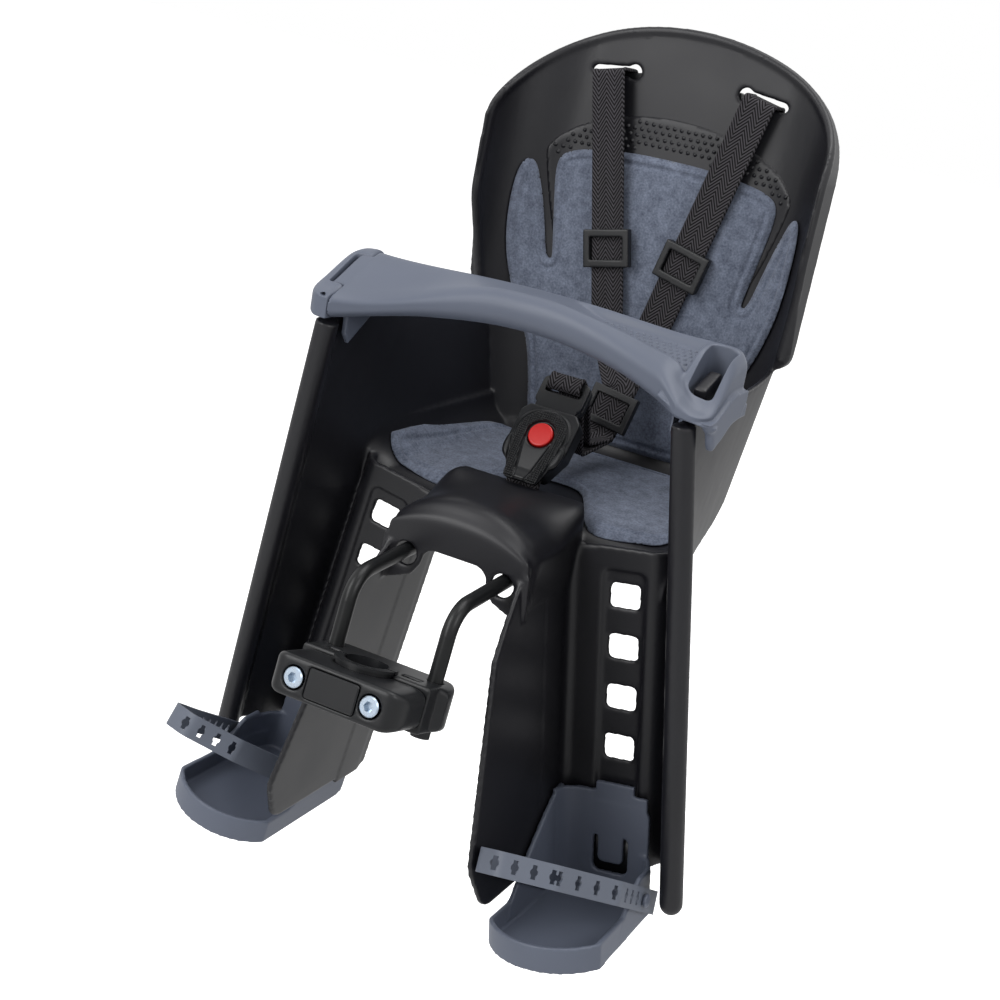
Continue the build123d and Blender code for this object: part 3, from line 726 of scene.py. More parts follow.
@dataclass
class Melted:
    """A CAD node whose hard edges are melted soft: merged copy, voxel skin, smoothing, thinning."""

    node: str
    slot: Slot
    body: str = "seat"
    voxel: float = 0.8
    smoothing: int = 4
    triangles: int = 60000
    weld: float = field(default=0.02, kw_only=True)
    relaxing: int = field(default=45, kw_only=True)

    def extra(self) -> list[Skin]:
        """Return further closed skins that melt into the piece, in millimetres."""
        return []

    def move(self, points: Array) -> Array:
        """Return the skin's points, in millimetres, after any shaping."""
        return points

    def soft_zone(self, points: Array) -> Array:
        """Return the share of further smoothing at each point."""
        return np.zeros(len(points))

    def gather(self, node: bpy.types.Object) -> bpy.types.Object:
        """Merge the node's doubled points and join the extra skins, each closed at its ends.

        Args:
            node: CAD object.

        Returns:
            The raw skin.
        """
        shape = bmesh.new()
        shape.from_mesh(node.data)
        bmesh.ops.remove_doubles(shape, verts=shape.verts, dist=self.weld * MM)
        for points, quads in self.extra():
            strip = patch("filler", points, quads)
            rim = bmesh.new()
            rim.from_mesh(strip.data)
            bmesh.ops.holes_fill(rim, edges=rim.edges, sides=0)
            bmesh.ops.recalc_face_normals(rim, faces=rim.faces)
            rim.to_mesh(strip.data)
            rim.free()
            shape.from_mesh(strip.data)
            bpy.data.objects.remove(strip)
        mesh = bpy.data.meshes.new(self.node + "_skin")
        shape.to_mesh(mesh)
        shape.free()
        skin = bpy.data.objects.new(self.node + "_skin", mesh)
        bpy.context.scene.collection.objects.link(skin)
        return skin

    def reshape(self, skin: bpy.types.Object) -> None:
        """Move the skin's points, then smooth its soft zone.

        Args:
            skin: voxel skin of the piece.
        """
        places = np.empty(3 * len(skin.data.vertices), np.float32)
        skin.data.vertices.foreach_get("co", places)
        places = places.reshape(-1, 3).astype(float) / MM
        edges = np.empty(2 * len(skin.data.edges), np.int32)
        skin.data.edges.foreach_get("vertices", edges)
        weight = self.soft_zone(places)
        places = self.move(places)
        if np.any(weight > 0):
            places = relax(places, edges.reshape(-1, 2), weight, self.relaxing)
        skin.data.vertices.foreach_set("co", (places * MM).astype(np.float32).ravel())

    def build(self, dresser: Dresser, node: bpy.types.Object) -> bpy.types.Object:
        """Melt a merged copy of the node and the extra skins.

        Args:
            dresser: finisher of the piece.
            node: CAD object.

        Returns:
            The soft-edged piece, which replaces the node.
        """
        skin = self.gather(node)
        melt = skin.modifiers.new("melt", "REMESH")
        melt.mode, melt.voxel_size = "VOXEL", self.voxel * MM
        settle(skin)
        self.reshape(skin)
        soft = skin.modifiers.new("soften", "SMOOTH")
        soft.factor, soft.iterations = 0.5, self.smoothing
        skin.data.calc_loop_triangles()
        thin = skin.modifiers.new("thin", "DECIMATE")
        thin.ratio = min(1.0, self.triangles / max(1, len(skin.data.loop_triangles)))
        settle(skin)
        skin.data.polygons.foreach_set("use_smooth", np.ones(len(skin.data.polygons), bool))
        return dresser.dress(skin, self.slot, self.body, self.node)


@dataclass
class ShellSkin(Melted):
    """The moulded shell: coves fill its corners, a bead rolls its rim, its hump is an arch."""

    form: SeatForm = field(default_factory=SeatForm)
    cove_run: Span = (186.0, 332.0)
    cove_sunk: float = 2.0
    bead: float = 3.4
    bead_foot: float = 200.0
    bead_across: Point = (0.0, 1.0, 0.05)
    spring_z: float = 325.0
    half_width: float = 129.0
    rise: float = 79.0
    hump_half: float = 53.0
    hump_base: float = 62.0
    hump_drop: float = 0.55
    hump_power: float = 2.4
    hump_side: Span = (58.0, 74.0)
    hump_rear: Span = (140.0, 184.0)
    soft_side: Span = (62.0, 74.0)
    soft_rear: Span = (160.0, 184.0)
    soft_base: Span = (62.0, 72.0)
    catch_half: Span = (4.5, 11.0)
    catch_path: tuple[Point, ...] = ((132, 131.5, 198), (132, 144, 202), (132, 156.5, 206))
    front_line: Outline = (
        (196.0, 317.0), (235.0, 309.0), (265.0, 300.0), (295.0, 292.5), (307.0, 291.5),
        (317.0, 293.0), (326.0, 297.0), (335.0, 303.0), (344.0, 311.0), (355.0, 323.0),
        (430.0, 323.0),
    )

    def cove_strip(self, side: int) -> Skin:
        """Fill the corner of pan and side wall: a circle arc closed by the corner, along y.

        Args:
            side: -1 or 1.

        Returns:
            The points and the quads of the strip.
        """
        y = np.linspace(*self.cove_run, 40)
        turn = np.linspace(0, np.pi / 2, 12)
        radius, sunk = self.form.cove, self.cove_sunk
        half = self.form.wall_x(y)[:, None]
        base = self.form.pan(np.zeros_like(y), y, 0.0)[:, 2:]
        arc_x = half - radius + radius * np.sin(turn)
        arc_z = base + radius * (1 - np.cos(turn))
        x = np.concatenate([arc_x, half + sunk, half + sunk, half - radius], 1)
        z = np.concatenate([arc_z, arc_z[:, -1:], base - sunk, base - sunk], 1)
        points = np.stack([side * x, np.broadcast_to(y[:, None], x.shape), z], -1)
        return points.reshape(-1, 3), grid_quads(len(y), x.shape[1], ring=True)

    def rim_bead(self) -> Skin:
        """Roll the rim: a round bead up one wing's front edge, over the arch and down the other.

        Returns:
            The points and the quads of the bead.
        """
        low = np.linspace(self.bead_foot, self.spring_z, 60)
        turn = np.linspace(0, np.pi, 200)
        side = np.full(len(low), self.half_width)
        z = np.r_[low, self.spring_z + self.rise * np.sin(turn), low[::-1]]
        x = np.r_[side, self.half_width * np.cos(turn), -side]
        lean, radius = self.form.lean(z), self.form.corner
        past = np.clip(np.abs(x) - self.form.bend_x, 0, radius)
        back = self.form.bend_y + np.sqrt(radius**2 - past**2) + lean
        y = np.maximum(back, line_at(self.front_line, z))
        out = np.clip(y - lean - self.form.bend_y, 0, radius)
        x = np.sign(x) * np.minimum(np.abs(x), self.form.bend_x + np.sqrt(radius**2 - out**2))
        path = even_path(np.stack([x, y, z], -1), 4.0, 3)
        return swept(path, np.array(self.bead_across), round_profile(self.bead))

    def catch(self) -> Skin:
        """Raise the catch of the bar's latch: an oblong carried along the side wall's top.

        Returns:
            The points and the quads of the catch.
        """
        wide, tall = self.catch_half
        profile = np.array([(-wide, -tall), (wide, -tall), (wide, tall), (-wide, tall)])
        return swept(np.array(self.catch_path, float), X_AXIS, profile)

    def extra(self) -> list[Skin]:
        """Return the two coves, the rim bead and the catch."""
        return [self.cove_strip(-1), self.cove_strip(1), self.rim_bead(), self.catch()]

    def move(self, points: Array) -> Array:
        """Draw the hump into an arch: heights over its base shrink as the width to a power.

        Args:
            points: skin points.

        Returns:
            The moved points.
        """
        x, y, z = points.T
        share = np.clip(np.abs(x) / self.hump_half, 0, 1) ** self.hump_power
        share = share * fade(np.abs(x), *self.hump_side) * fade(y, *self.hump_rear)
        above = np.clip(z - self.hump_base, 0, None)
        return np.stack([x, y, z - above * self.hump_drop * share], -1)

    def soft_zone(self, points: Array) -> Array:
        """Smooth the hump, fading out below it and towards the pan.

        Args:
            points: skin points.

        Returns:
            The share of smoothing at each point.
        """
        x, y, z = points.T
        inside = fade(np.abs(x), *self.soft_side) * fade(y, *self.soft_rear)
        return inside * smoothstep(z, *self.soft_base)


@dataclass
class BarSkin(Melted):
    """The swinging bar: its top slopes forward at both ends and is dished towards the latch.

    A zone is a span across the bar, 0 at its front edge and 1 at its rear edge.
    """

    top: float = 231.5
    middle: Outline = ((-126, 143), (-75, 158), (0, 169), (75, 158), (126, 143))
    half_depth: Outline = ((-126, 35), (-75, 25), (0, 21.5), (75, 25), (126, 35))
    tall: Outline = ((0, 25), (75, 31), (126, 41.5))
    slope: float = 15.0
    slope_run: Span = (5.0, 128.0)
    slope_zone: Span = (0.0, 0.82)
    fall: float = 19.0
    fall_run: Span = (104.0, 140.0)
    fall_zone: Span = (0.1, 0.62)
    hinge_slope: float = 24.0
    hinge_run: Span = (15.0, 120.0)
    hinge_zone: Span = (0.0, 0.95)
    dish: float = 7.5
    dish_run: tuple[Span, Span] = ((10.0, 50.0), (120.0, 128.0))
    dish_zone: tuple[Span, Span] = ((0.3, 0.42), (0.74, 0.86))
    opening: float = 8.0
    opening_x: tuple[Span, Span] = ((112.0, 132.0), (133.0, 141.0))
    opening_y: tuple[Span, Span] = ((118.0, 130.0), (158.0, 170.0))
    thinning: float = 10.0
    thinning_x: tuple[Span, Span] = ((96.0, 118.0), (139.0, 145.0))
    thinning_zone: Span = (0.3, 0.5)
    tip_radius: float = 5.0
    tip: tuple[Point, ...] = (
        (112, 117, 209), (128, 114, 206), (140, 113, 201), (146, 114, 195), (148, 118, 188),
    )
    cheek_x: Point = (144.0, 147.0, 150.0)
    cheek: Outline = (
        (109, 206), (111, 198), (115, 189), (121, 178), (125, 172.5), (129, 174), (137, 181),
        (152, 186), (166, 189), (171, 198), (171, 206), (140, 208),
    )
    soft_share: float = 0.5
    soft_x: Span = (134.0, 142.0)
    soft_y: Span = (150.0, 165.0)
    soft_z: Span = (198.0, 210.0)

    @staticmethod
    def window(value: Array, spans: tuple[Span, Span]) -> Array:
        """Return a smooth window that rises over the first span and falls over the second."""
        return smoothstep(value, *spans[0]) * fade(value, *spans[1])

    def across(self, x: Array, y: Array) -> Array:
        """Return the place across the bar: 0 at the front edge and 1 at the rear edge."""
        return (y - line_at(self.middle, x)) / (2 * line_at(self.half_depth, x)) + 0.5

    def drop(self, x: Array, y: Array) -> Array:
        """Lower the top: a slope and a steep fall to the latch, a slope to the hinge and a dish.

        Args:
            x: places along the bar.
            y: places across the bar.

        Returns:
            The drop at each place.
        """
        t = self.across(x, y)
        slope = self.slope * smoothstep(x, *self.slope_run) * fade(t, *self.slope_zone)
        fall = self.fall * smoothstep(x, *self.fall_run) * fade(t, *self.fall_zone)
        hinge = self.hinge_slope * smoothstep(-x, *self.hinge_run) * fade(t, *self.hinge_zone)
        dish = self.dish * self.window(t, self.dish_zone) * self.window(x, self.dish_run)
        return slope + fall + hinge + dish

    def share(self, x: Array, z: Array) -> Array:
        """Return the height over the bar's underside as a share of its full height."""
        tall = line_at(self.tall, np.abs(x))
        return np.clip((z - (self.top - tall)) / tall, 0, 1)

    def lowered(self, points: Array) -> Array:
        """Return points lowered by the drop, in proportion to their height over the underside."""
        x, y, z = points.T
        return np.stack([x, y, z - self.share(x, z) * self.drop(x, y)], -1)

    def extra(self) -> list[Skin]:
        """Make the pointed end: a round rod off the front rail and a flat cheek carried along x.

        Returns:
            The rod and the cheek.
        """
        rod = swept(even_path(self.tip, 3.0, 3), Y_AXIS, round_profile(self.tip_radius))
        width = np.outer(self.cheek_x, X_AXIS)
        return [rod, swept(width, Y_AXIS, np.array(self.cheek, float))]

    def move(self, points: Array) -> Array:
        """Lower the top, draw the latch opening inwards and raise the underside behind it.

        Args:
            points: skin points.

        Returns:
            The moved points.
        """
        x, y, z = points.T
        shift = self.window(x, self.opening_x) * self.window(y, self.opening_y)
        behind = smoothstep(self.across(x, y), *self.thinning_zone)
        rise = behind * self.window(x, self.thinning_x) * (1 - self.share(x, z))
        off = [-self.opening * shift, np.zeros_like(y), self.thinning * rise]
        return self.lowered(points) + np.stack(off, -1)

    def soft_zone(self, points: Array) -> Array:
        """Return part smoothing over the pointed end, so that rail and cheek join."""
        (x, y, z), share = points.T, self.soft_share
        return share * smoothstep(x, *self.soft_x) * fade(z, *self.soft_z) * fade(y, *self.soft_y)


@dataclass
class HingeSkin(Melted):
    """The hinge cap, whose top slopes forward with the bar and whose corners are rounded off."""

    bar: BarSkin = field(kw_only=True)
    edge: Span = (-143.0, -137.0)

    def move(self, points: Array) -> Array:
        """Lower the top by the bar's own slope."""
        return self.bar.lowered(points)

    def soft_zone(self, points: Array) -> Array:
        """Return full smoothing outside the knuckle's notch."""
        return fade(points[:, 0], *self.edge)


@dataclass
class PinSkin(Melted):
    """The hinge pin, drawn back to the rear lug of the cap, clear of the turning knuckle."""

    bar: BarSkin = field(kw_only=True)
    rear: float = 173.0
    share: float = 0.15

    def move(self, points: Array) -> Array:
        """Shorten the pin towards its rear end and lower it by the bar's own slope there."""
        x, y, z = points.T
        return self.bar.lowered(np.stack([x, self.rear - (self.rear - y) * self.share, z], -1))


@dataclass
class UprightSlider(Melted):
    """The lower slider, stood up on the slack loop of the straps as it hangs in use."""

    flat_centre: Point = (0.0, 291.0, 113.4)
    centre: Point = (10.0, 300.0, 134.0)
    raised: float = math.radians(70.0)
    lean: float = math.radians(8.0)

    def axes(self) -> Array:
        """Work out the slider's axes from its rise and its lean.

        Returns:
            The across, along and outward directions as rows.
        """
        s, c = math.sin(self.lean), math.cos(self.lean)
        along = np.array([s, c * math.cos(self.raised), c * math.sin(self.raised)])
        across = np.cross(along, Y_AXIS)
        across *= np.sign(across[0]) / np.linalg.norm(across)
        return np.stack([across, along, np.cross(across, along)])

    def at(self, up: float, out: float) -> tuple[float, ...]:
        """Return a point on the slider's middle line and the strap's across direction there."""
        across, along, outward = self.axes()
        return (*(np.array(self.centre) + up * along + out * outward), *across)

    def move(self, points: Array) -> Array:
        """Turn the flat slider into its upright axes about its middle."""
        return (points - self.flat_centre) @ self.axes() + self.centre


@dataclass
class ClampSkin(Melted):
    """A block of the stem clamp whose ends are drawn in to a rounded outline."""

    half: float = 46.0
    reach: float = 12.0
    height_share: float = 0.42
    depth_in: float = 7.0
    side: int = -1
    lean: float = math.radians(14.0)
    face: Span = (12.0, 30.0)

    @staticmethod
    def turned(points: Array, angle: float) -> Array:
        """Turn points about x: y and z mix by the sine and cosine of the angle.

        Args:
            points: places, one row each.
            angle: turn from y towards z.

        Returns:
            The turned places.
        """
        s, c = math.sin(angle), math.cos(angle)
        x, y, z = points.T
        return np.stack([x, y * c - z * s, y * s + z * c], -1)

    def move(self, points: Array) -> Array:
        """Shrink the height at each end and draw the face in, both as a circle arc.

        Args:
            points: skin points.

        Returns:
            The moved points.
        """
        x, y, z = self.turned(points, self.lean).T
        run = np.clip((np.abs(x) - (self.half - self.reach)) / self.reach, 0, 1)
        arc = 1 - np.sqrt(1 - np.minimum(run, 0.999) ** 2)
        inward = self.depth_in * arc * smoothstep(self.side * y, *self.face)
        moved = np.stack([x, y - self.side * inward, z * (1 - self.height_share * arc)], -1)
        return self.turned(moved, -self.lean)


@dataclass
class FootrestSkin(Melted):
    """A footrest whose raised heel is joined to its side walls by rounded corners."""

    side: int = 1
    splay: float = math.radians(9.4)
    foot: Span = (50.5, 50.0)
    drop: float = 3.5
    half_wall: float = 1.75
    foot_z: float = -220.0
    heel_z: Span = (-165.0, -147.0)
    tab_top: float = -140.0
    outer_top: float = -188.0
    backing_z: Span = (-207.0, -177.0)
    inner: Outline = ((5.4, 154), (6.6, 161), (11, 166.2), (18, 168.6), (28, 169.2))
    heel: Outline = ((16, 169.5), (43, 169.5), (69, 169.5))
    tab: Outline = ((30.5, 169.5), (43, 169.5), (59, 169.5))
    outer: Outline = ((60, 169.5), (70, 168.5), (76, 158), (79, 146), (79.5, 130))
    backing: Outline = ((29.5, 173), (43, 173), (56.5, 173))
    cheek_x: float = 5.4
    cheek: Outline = (
        (168, -147), (160, -147.5), (152, -152), (140, -160), (122, -174), (104, -189),
        (88, -205), (84, -215), (120, -218), (168, -218),
    )

    def channel(self, points: Array) -> Array:
        """Carry points from the leg channel's frame into the seat's: a turn by the splay.

        Args:
            points: places in the channel's frame.

        Returns:
            The places in the seat's frame.
        """
        x, y, z = points[:, 0], points[:, 1], points[:, 2] - self.drop
        s, c = math.sin(self.splay), math.cos(self.splay)
        out, up = self.foot[0] + x * c - z * s, self.foot[1] + x * s + z * c
        return np.stack([self.side * out, y, up], -1)

    def corner(self, corners: Outline, low: float, high: float) -> Skin:
        """Sweep an upright wall along a line in plan.

        Args:
            corners: plan points of the wall.
            low: height of its foot.
            high: height of its top.

        Returns:
            The points and the quads.
        """
        line = even_path([(x, y, (low + high) / 2) for x, y in corners], 2.0, 6)
        tall, wide = (high - low) / 2, self.half_wall
        profile = np.array([(-tall, -wide), (tall, -wide), (tall, wide), (-tall, wide)])
        points, quads = swept(line, Z_AXIS, profile)
        return self.channel(points), quads

    def extra(self) -> list[Skin]:
        """Raise the heel with its tab, round its corners and add the sloping inner cheek.

        Returns:
            The walls and the cheek.
        """
        low, top = self.heel_z
        width = np.outer(self.cheek_x + self.half_wall * np.array([-1, 0, 1]), X_AXIS)
        points, quads = swept(width, Y_AXIS, np.array(self.cheek, float))
        return [
            self.corner(self.inner, self.foot_z, top),
            self.corner(self.heel, low, top),
            self.corner(self.tab, low, self.tab_top),
            self.corner(self.outer, self.foot_z, self.outer_top),
            (self.channel(points), quads),
        ]

    def build(self, dresser: Dresser, node: bpy.types.Object) -> bpy.types.Object:
        """Build the footrest and the dark backing behind its latch.

        Args:
            dresser: finisher of the pieces.
            node: CAD object.

        Returns:
            The footrest.
        """
        plate = self.corner(self.backing, *self.backing_z)
        dresser.dress(patch(self.node + "_latch_backing", *plate), Slot.BLACK, self.body)
        return super().build(dresser, node)


@dataclass
class Pads:
    """The felt pads: back panel with two leaf-shaped lobes, and seat pad notched for the tunnel."""

    form: SeatForm
    pitch: float = 1.3
    thickness: float = 5.2
    underside: float = 1.05
    rim: float = 1.7
    rim_width: float = 2.6
    welt_in: float = 7.0
    welt_width: float = 1.5
    welt_depth: float = 2.0
    crown: float = 1.0
    crown_width: float = 28.0
    back_half: Outline = (
        (0, 97), (62, 97), (71, 102), (76, 130), (84, 160), (97.5, 184), (108, 216), (112, 241),
        (113, 268), (111.5, 287), (107.5, 295), (102, 292), (97.5, 280), (93.5, 268), (88, 247),
        (82.5, 224), (77, 222), (79, 234), (84, 262), (88.5, 290), (86, 301), (76, 306),
        (63, 309), (31, 313), (0, 313.5),
    )
    seat_half: Outline = (
        (0, 254), (20, 250), (34, 226), (48, 195), (58, 188), (78, 190), (102, 198), (119, 206),
        (121, 216), (110, 250), (100, 290), (92, 318), (82, 327), (0, 327),
    )

    def height(self, depth: Array) -> Array:
        """Raise the pad: a quick rounded rise from the rim, a pressed welt and a slow crown.

        Args:
            depth: distance inside the rim.

        Returns:
            The height at each place, each part a bell curve of the depth.
        """
        rise = (self.thickness - self.rim) * (1 - np.exp(-((depth / self.rim_width) ** 2)))
        welt = self.welt_depth * np.exp(-(((depth - self.welt_in) / self.welt_width) ** 2))
        crown = self.crown * (1 - np.exp(-((depth / self.crown_width) ** 2)))
        return self.rim + rise - welt + crown

    def build(self, dresser: Dresser) -> None:
        """Build both pads as closed skins over the seat surfaces.

        Args:
            dresser: finisher of the pieces.
        """
        for name, half, surface in (
            ("back_pad_felt", self.back_half, self.form.back),
            ("seat_pad_felt", self.seat_half, self.form.pan),
        ):
            flat, depth, quads = outline_sheet(mirrored_outline(half), self.pitch)
            front = surface(*flat.T, self.height(depth))
            back = surface(*flat.T, np.full(len(flat), self.underside))
            piece = patch(name, *closed_slab(front, back, quads))
            dresser.dress(piece, Slot.PAD, "seat", name.removesuffix("_felt"))


@dataclass
class HeadrestPanel:
    """The raised plateau behind the back pad, whose crown above the pad carries small domes."""

    form: SeatForm
    pitch: float = 2.0
    lift: float = 0.9
    least: float = 0.1
    edge: float = 1.5
    underside: float = -1.0
    dome_start: Span = (0.0, 302.0)
    dome_rows: int = 12
    dome_columns: range = range(-22, 23)
    dome_pitch: float = 5.6
    dome_radius: float = 1.9
    dome_height: float = 1.6
    dome_margin: float = 3.0
    pad_top: Outline = ((0, 317), (31, 316.5), (63, 312.5), (86, 304), (92, 297))
    half: Outline = (
        (0, 205), (62, 205), (72, 222), (81, 240), (90, 268), (97, 296), (98, 306), (84, 321),
        (62, 332), (31, 340.5), (0, 343),
    )

    def build(self, dresser: Dresser) -> None:
        """Build the thin plateau and its domes on a staggered grid over the crown.

        Args:
            dresser: finisher of the pieces.
        """
        outline = mirrored_outline(self.half)
        flat, depth, quads = outline_sheet(outline, self.pitch)
        lift = self.lift * (1 - np.exp(-((depth / self.edge) ** 2))) + self.least
        front = self.form.back(*flat.T, lift)
        back = self.form.back(*flat.T, np.full(len(flat), self.underside))
        panel = patch("headrest_panel", *closed_slab(front, back, quads))
        dresser.dress(panel, Slot.SHELL, "seat")
        spots = staggered(self.dome_start, self.dome_rows, self.dome_columns, self.dome_pitch)
        over_pad = spots[:, 1] > line_at(self.pad_top, np.abs(spots[:, 0]))
        spots = spots[(inside_depth(spots, outline) > self.dome_margin) & over_pad]
        centre = self.form.back(*spots.T, self.lift)
        outward = self.form.back(*spots.T, self.lift + 1.0) - centre
        raised = domes(centre, outward, Z_AXIS, self.dome_radius, self.dome_height)
        dresser.dress(patch("headrest_domes", *raised), Slot.SHELL, "seat")


@dataclass(frozen=True)
class BuckleFrame:
    """The leaning front plane of the buckle, in millimetres."""

    base_y: float = 187.0
    base_z: float = 104.0
    lean: float = math.radians(39.0)

    def at(self, x: Array | float, up: Array | float, out: Array | float) -> Array:
        """Place points on the buckle: up its face and out of it, both turned by the lean.

        Args:
            x: places across.
            up: distance up the face.
            out: distance out of the face.

        Returns:
            The points, one row each, or one point.
        """
        s, c = math.sin(self.lean), math.cos(self.lean)
        y, z = self.base_y + up * s - out * c, self.base_z + up * c + out * s
        return np.stack(np.broadcast_arrays(x, y, z), -1)


@dataclass
class Harness:
    """Webbing of the harness, swept as bands with thick edges along the runs of the CAD straps."""

    form: SeatForm
    slider: UprightSlider
    buckle: BuckleFrame
    slot_x: float = 59.0
    slot_z: float = 368.0
    tilt: float = math.radians(13.0)
    run: float = 186.0
    lifts: Span = (12.9, 10.1)
    behind: float = 20.0
    tail: float = 14.0
    width: float = 25.0
    thickness: float = 1.6
    step: float = 2.0
    uv_start: float = 2.0
    slider_ends: Span = (18.0, -20.0)
    slider_gap: float = 1.3
    left_end: tuple[Span, ...] = ((79, -17), (79, 2), (68, 2), (68, -3))
    right_end: tuple[Span, ...] = ((68, -15), (68, -8))
    slack: tuple[Point, Point] = ((0, 268, 113), (0, 258, 106))
    crotch_end: tuple[Span, ...] = ((12, -6.5), (-4, -6.5))
    crotch_foot: Point = (0.0, 189.5, 78.0)
    flat_u: tuple[float, ...] = (-1, -0.93, -0.86, -0.3, 0.3, 0.86, 0.93, 1)
    swell: tuple[float, ...] = (1.0, 1.625, 1.0625, 1.0, 1.0, 1.0625, 1.625, 1.0)

    def profile(self) -> Array:
        """Draw the band's cross-section: a flat oblong whose two edges swell into beads.

        Returns:
            The closed profile as (u, v) rows.
        """
        u = np.array(self.flat_u) * self.width / 2
        v = np.array(self.swell) * self.thickness / 2
        return np.stack([np.r_[u, u[::-1]], np.r_[-v, v[::-1]]], -1)

    def on_back(self, side: int, down: float, lift: float) -> Point:
        """Place a point of a strap run: down the tilted run from its slot, lifted off the back.

        Args:
            side: -1 or 1.
            down: distance down the run.
            lift: distance off the back's face.

        Returns:
            The point.
        """
        y = self.form.back_y + self.form.lean(self.slot_z) - self.form.wall / 2
        s, c = math.sin(self.form.recline), math.cos(self.form.recline)
        x = side * (self.slot_x - down * math.sin(self.tilt))
        up = -down * math.cos(self.tilt)
        return x, y + up * s - lift * c, self.slot_z + up * c + lift * s

    def band(self, name: str, corners: list[tuple[float, ...]], soften: int) -> bpy.types.Object:
        """Sweep a band along corners that carry their own across direction.

        Args:
            name: piece name.
            corners: rows of x, y, z and the across direction.
            soften: averaging passes that round the turns.

        Returns:
            The band, with UV in centimetres across and along.
        """
        line = even_path(corners, self.step, soften)
        profile = self.profile()
        points, faces = swept(line[:, :3], line[:, 3:], profile)
        across, along = profile[None, :, 0] / UV_MM + self.uv_start, run_length(line) / UV_MM
        uv = np.stack(np.broadcast_arrays(across, along[:, None]), -1).reshape(-1, 2)
        return patch(name, points, faces, uv)

    def shoulder(self, side: int) -> list[tuple[float, ...]]:
        """List the corners of a shoulder strap from behind the back to its tongue.

        Args:
            side: -1 or 1.

        Returns:
            Rows of x, y, z and the across direction.
        """
        left = side < 0
        lift = self.lifts[0 if left else 1]
        across = (math.cos(self.tilt), 0.0, -side * math.sin(self.tilt))
        upper = ((self.behind, -self.tail), (0, -self.tail), (0, lift), (self.run, lift))
        corners = [(*self.on_back(side, down, off), *across) for down, off in upper]
        gap = self.slider_gap if left else -self.slider_gap
        corners += [self.slider.at(up, gap) for up in self.slider_ends]
        lower = [self.buckle.at(0.0, *end) for end in (self.left_end if left else self.right_end)]
        return corners + [(*p, *X_AXIS) for p in (self.slack[0 if left else 1], *lower)]

    def build(self, dresser: Dresser) -> None:
        """Build the two shoulder straps and the crotch strap.

        Args:
            dresser: finisher of the pieces.
        """
        for side, word in ((-1, "left"), (1, "right")):
            strap = self.band(f"{word}_shoulder_webbing", self.shoulder(side), 2)
            dresser.dress(strap, Slot.WEBBING, "seat", f"{word}_shoulder_strap")
        low = [*(self.buckle.at(0.0, *end) for end in self.crotch_end), self.crotch_foot]
        strap = self.band("crotch_webbing", [(*p, *X_AXIS) for p in low], 1)
        dresser.dress(strap, Slot.WEBBING, "seat", "crotch_strap")


@dataclass
class BuckleFace:
    """The moulded front of the buckle: a knurled U round the button and a flared lower lip."""

    buckle: BuckleFrame
    button_up: float = 30.0
    hole: float = 9.7
    base: float = 1.7
    underside: float = -0.4
    band: float = 14.6
    band_width: float = 3.4
    band_edge: Span = (-0.5, 0.3)
    band_top: float = 26.0
    band_rise: float = 0.6
    legs: Outline = ((-6, 8.5), (22, 14.4))
    knurl_mm: float = 2.4
    knurl_turn: float = 1.4
    knurl_rise: float = 0.8
    groove: float = 1.1
    groove_off: float = 0.9
    groove_width: float = 0.6
    tab_rise: float = 1.3
    tab_side: Span = (15.5, 17.5)
    tab_top: Span = (23.0, 25.5)
    lip_rise: float = 2.2
    lip_run: Span = (-7.0, 3.0)
    bevel: float = 1.3
    bevel_width: float = 1.0
    pitch: float = 0.32
    half: Outline = (
        (0, -7), (9, -7), (12.5, -6.5), (14, -2), (15, 5), (20.5, 9), (22.5, 14), (22.5, 22),
        (20.5, 26), (21.5, 31), (20.5, 38), (16.5, 45), (9, 49.5), (0, 50.5),
    )

    def height(self, x: Array, up: Array, depth: Array) -> Array:
        """Raise the face: bevelled rim, knurled band along a U, side tabs and a flared lip.

        The band follows a circle round the button and two straight legs below it, its knurl
        is a product of two crossed sines, and groove and bevel are bell curves.

        Args:
            x: places across.
            up: places up the face.
            depth: distance inside the rim.

        Returns:
            The height at each place.
        """
        round_way = np.abs(np.hypot(x, up - self.button_up) - self.band)
        leg_way = np.abs(np.abs(x) - line_at(self.legs, up))
        way = np.where(up > self.band_top, round_way, leg_way) - self.band_width
        band = fade(way, *self.band_edge)
        turn = 2 * np.pi / self.knurl_mm / self.knurl_turn
        knurl = self.knurl_rise * np.sin((x + up) * turn) * np.sin((x - up) * turn)
        groove = self.groove * np.exp(-(((way - self.groove_off) / self.groove_width) ** 2))
        tabs = self.tab_rise * smoothstep(np.abs(x), *self.tab_side) * fade(up, *self.tab_top)
        lip = self.lip_rise * fade(up, *self.lip_run) * (1 - band)
        bevel = self.bevel * np.exp(-((depth / self.bevel_width) ** 2))
        return self.base + band * (self.band_rise + knurl) - groove + tabs + lip - bevel

    def build(self, dresser: Dresser) -> None:
        """Build the face as a closed plate on the buckle's body, pierced for the button.

        Args:
            dresser: finisher of the piece.
        """
        hole = (0.0, self.button_up, self.hole)
        flat, depth, quads = outline_sheet(mirrored_outline(self.half, 2), self.pitch, hole)
        front = self.buckle.at(*flat.T, self.height(*flat.T, depth))
        back = self.buckle.at(*flat.T, self.underside)
        dresser.dress(patch("buckle_face", *closed_slab(front, back, quads)), Slot.BLACK, "seat")


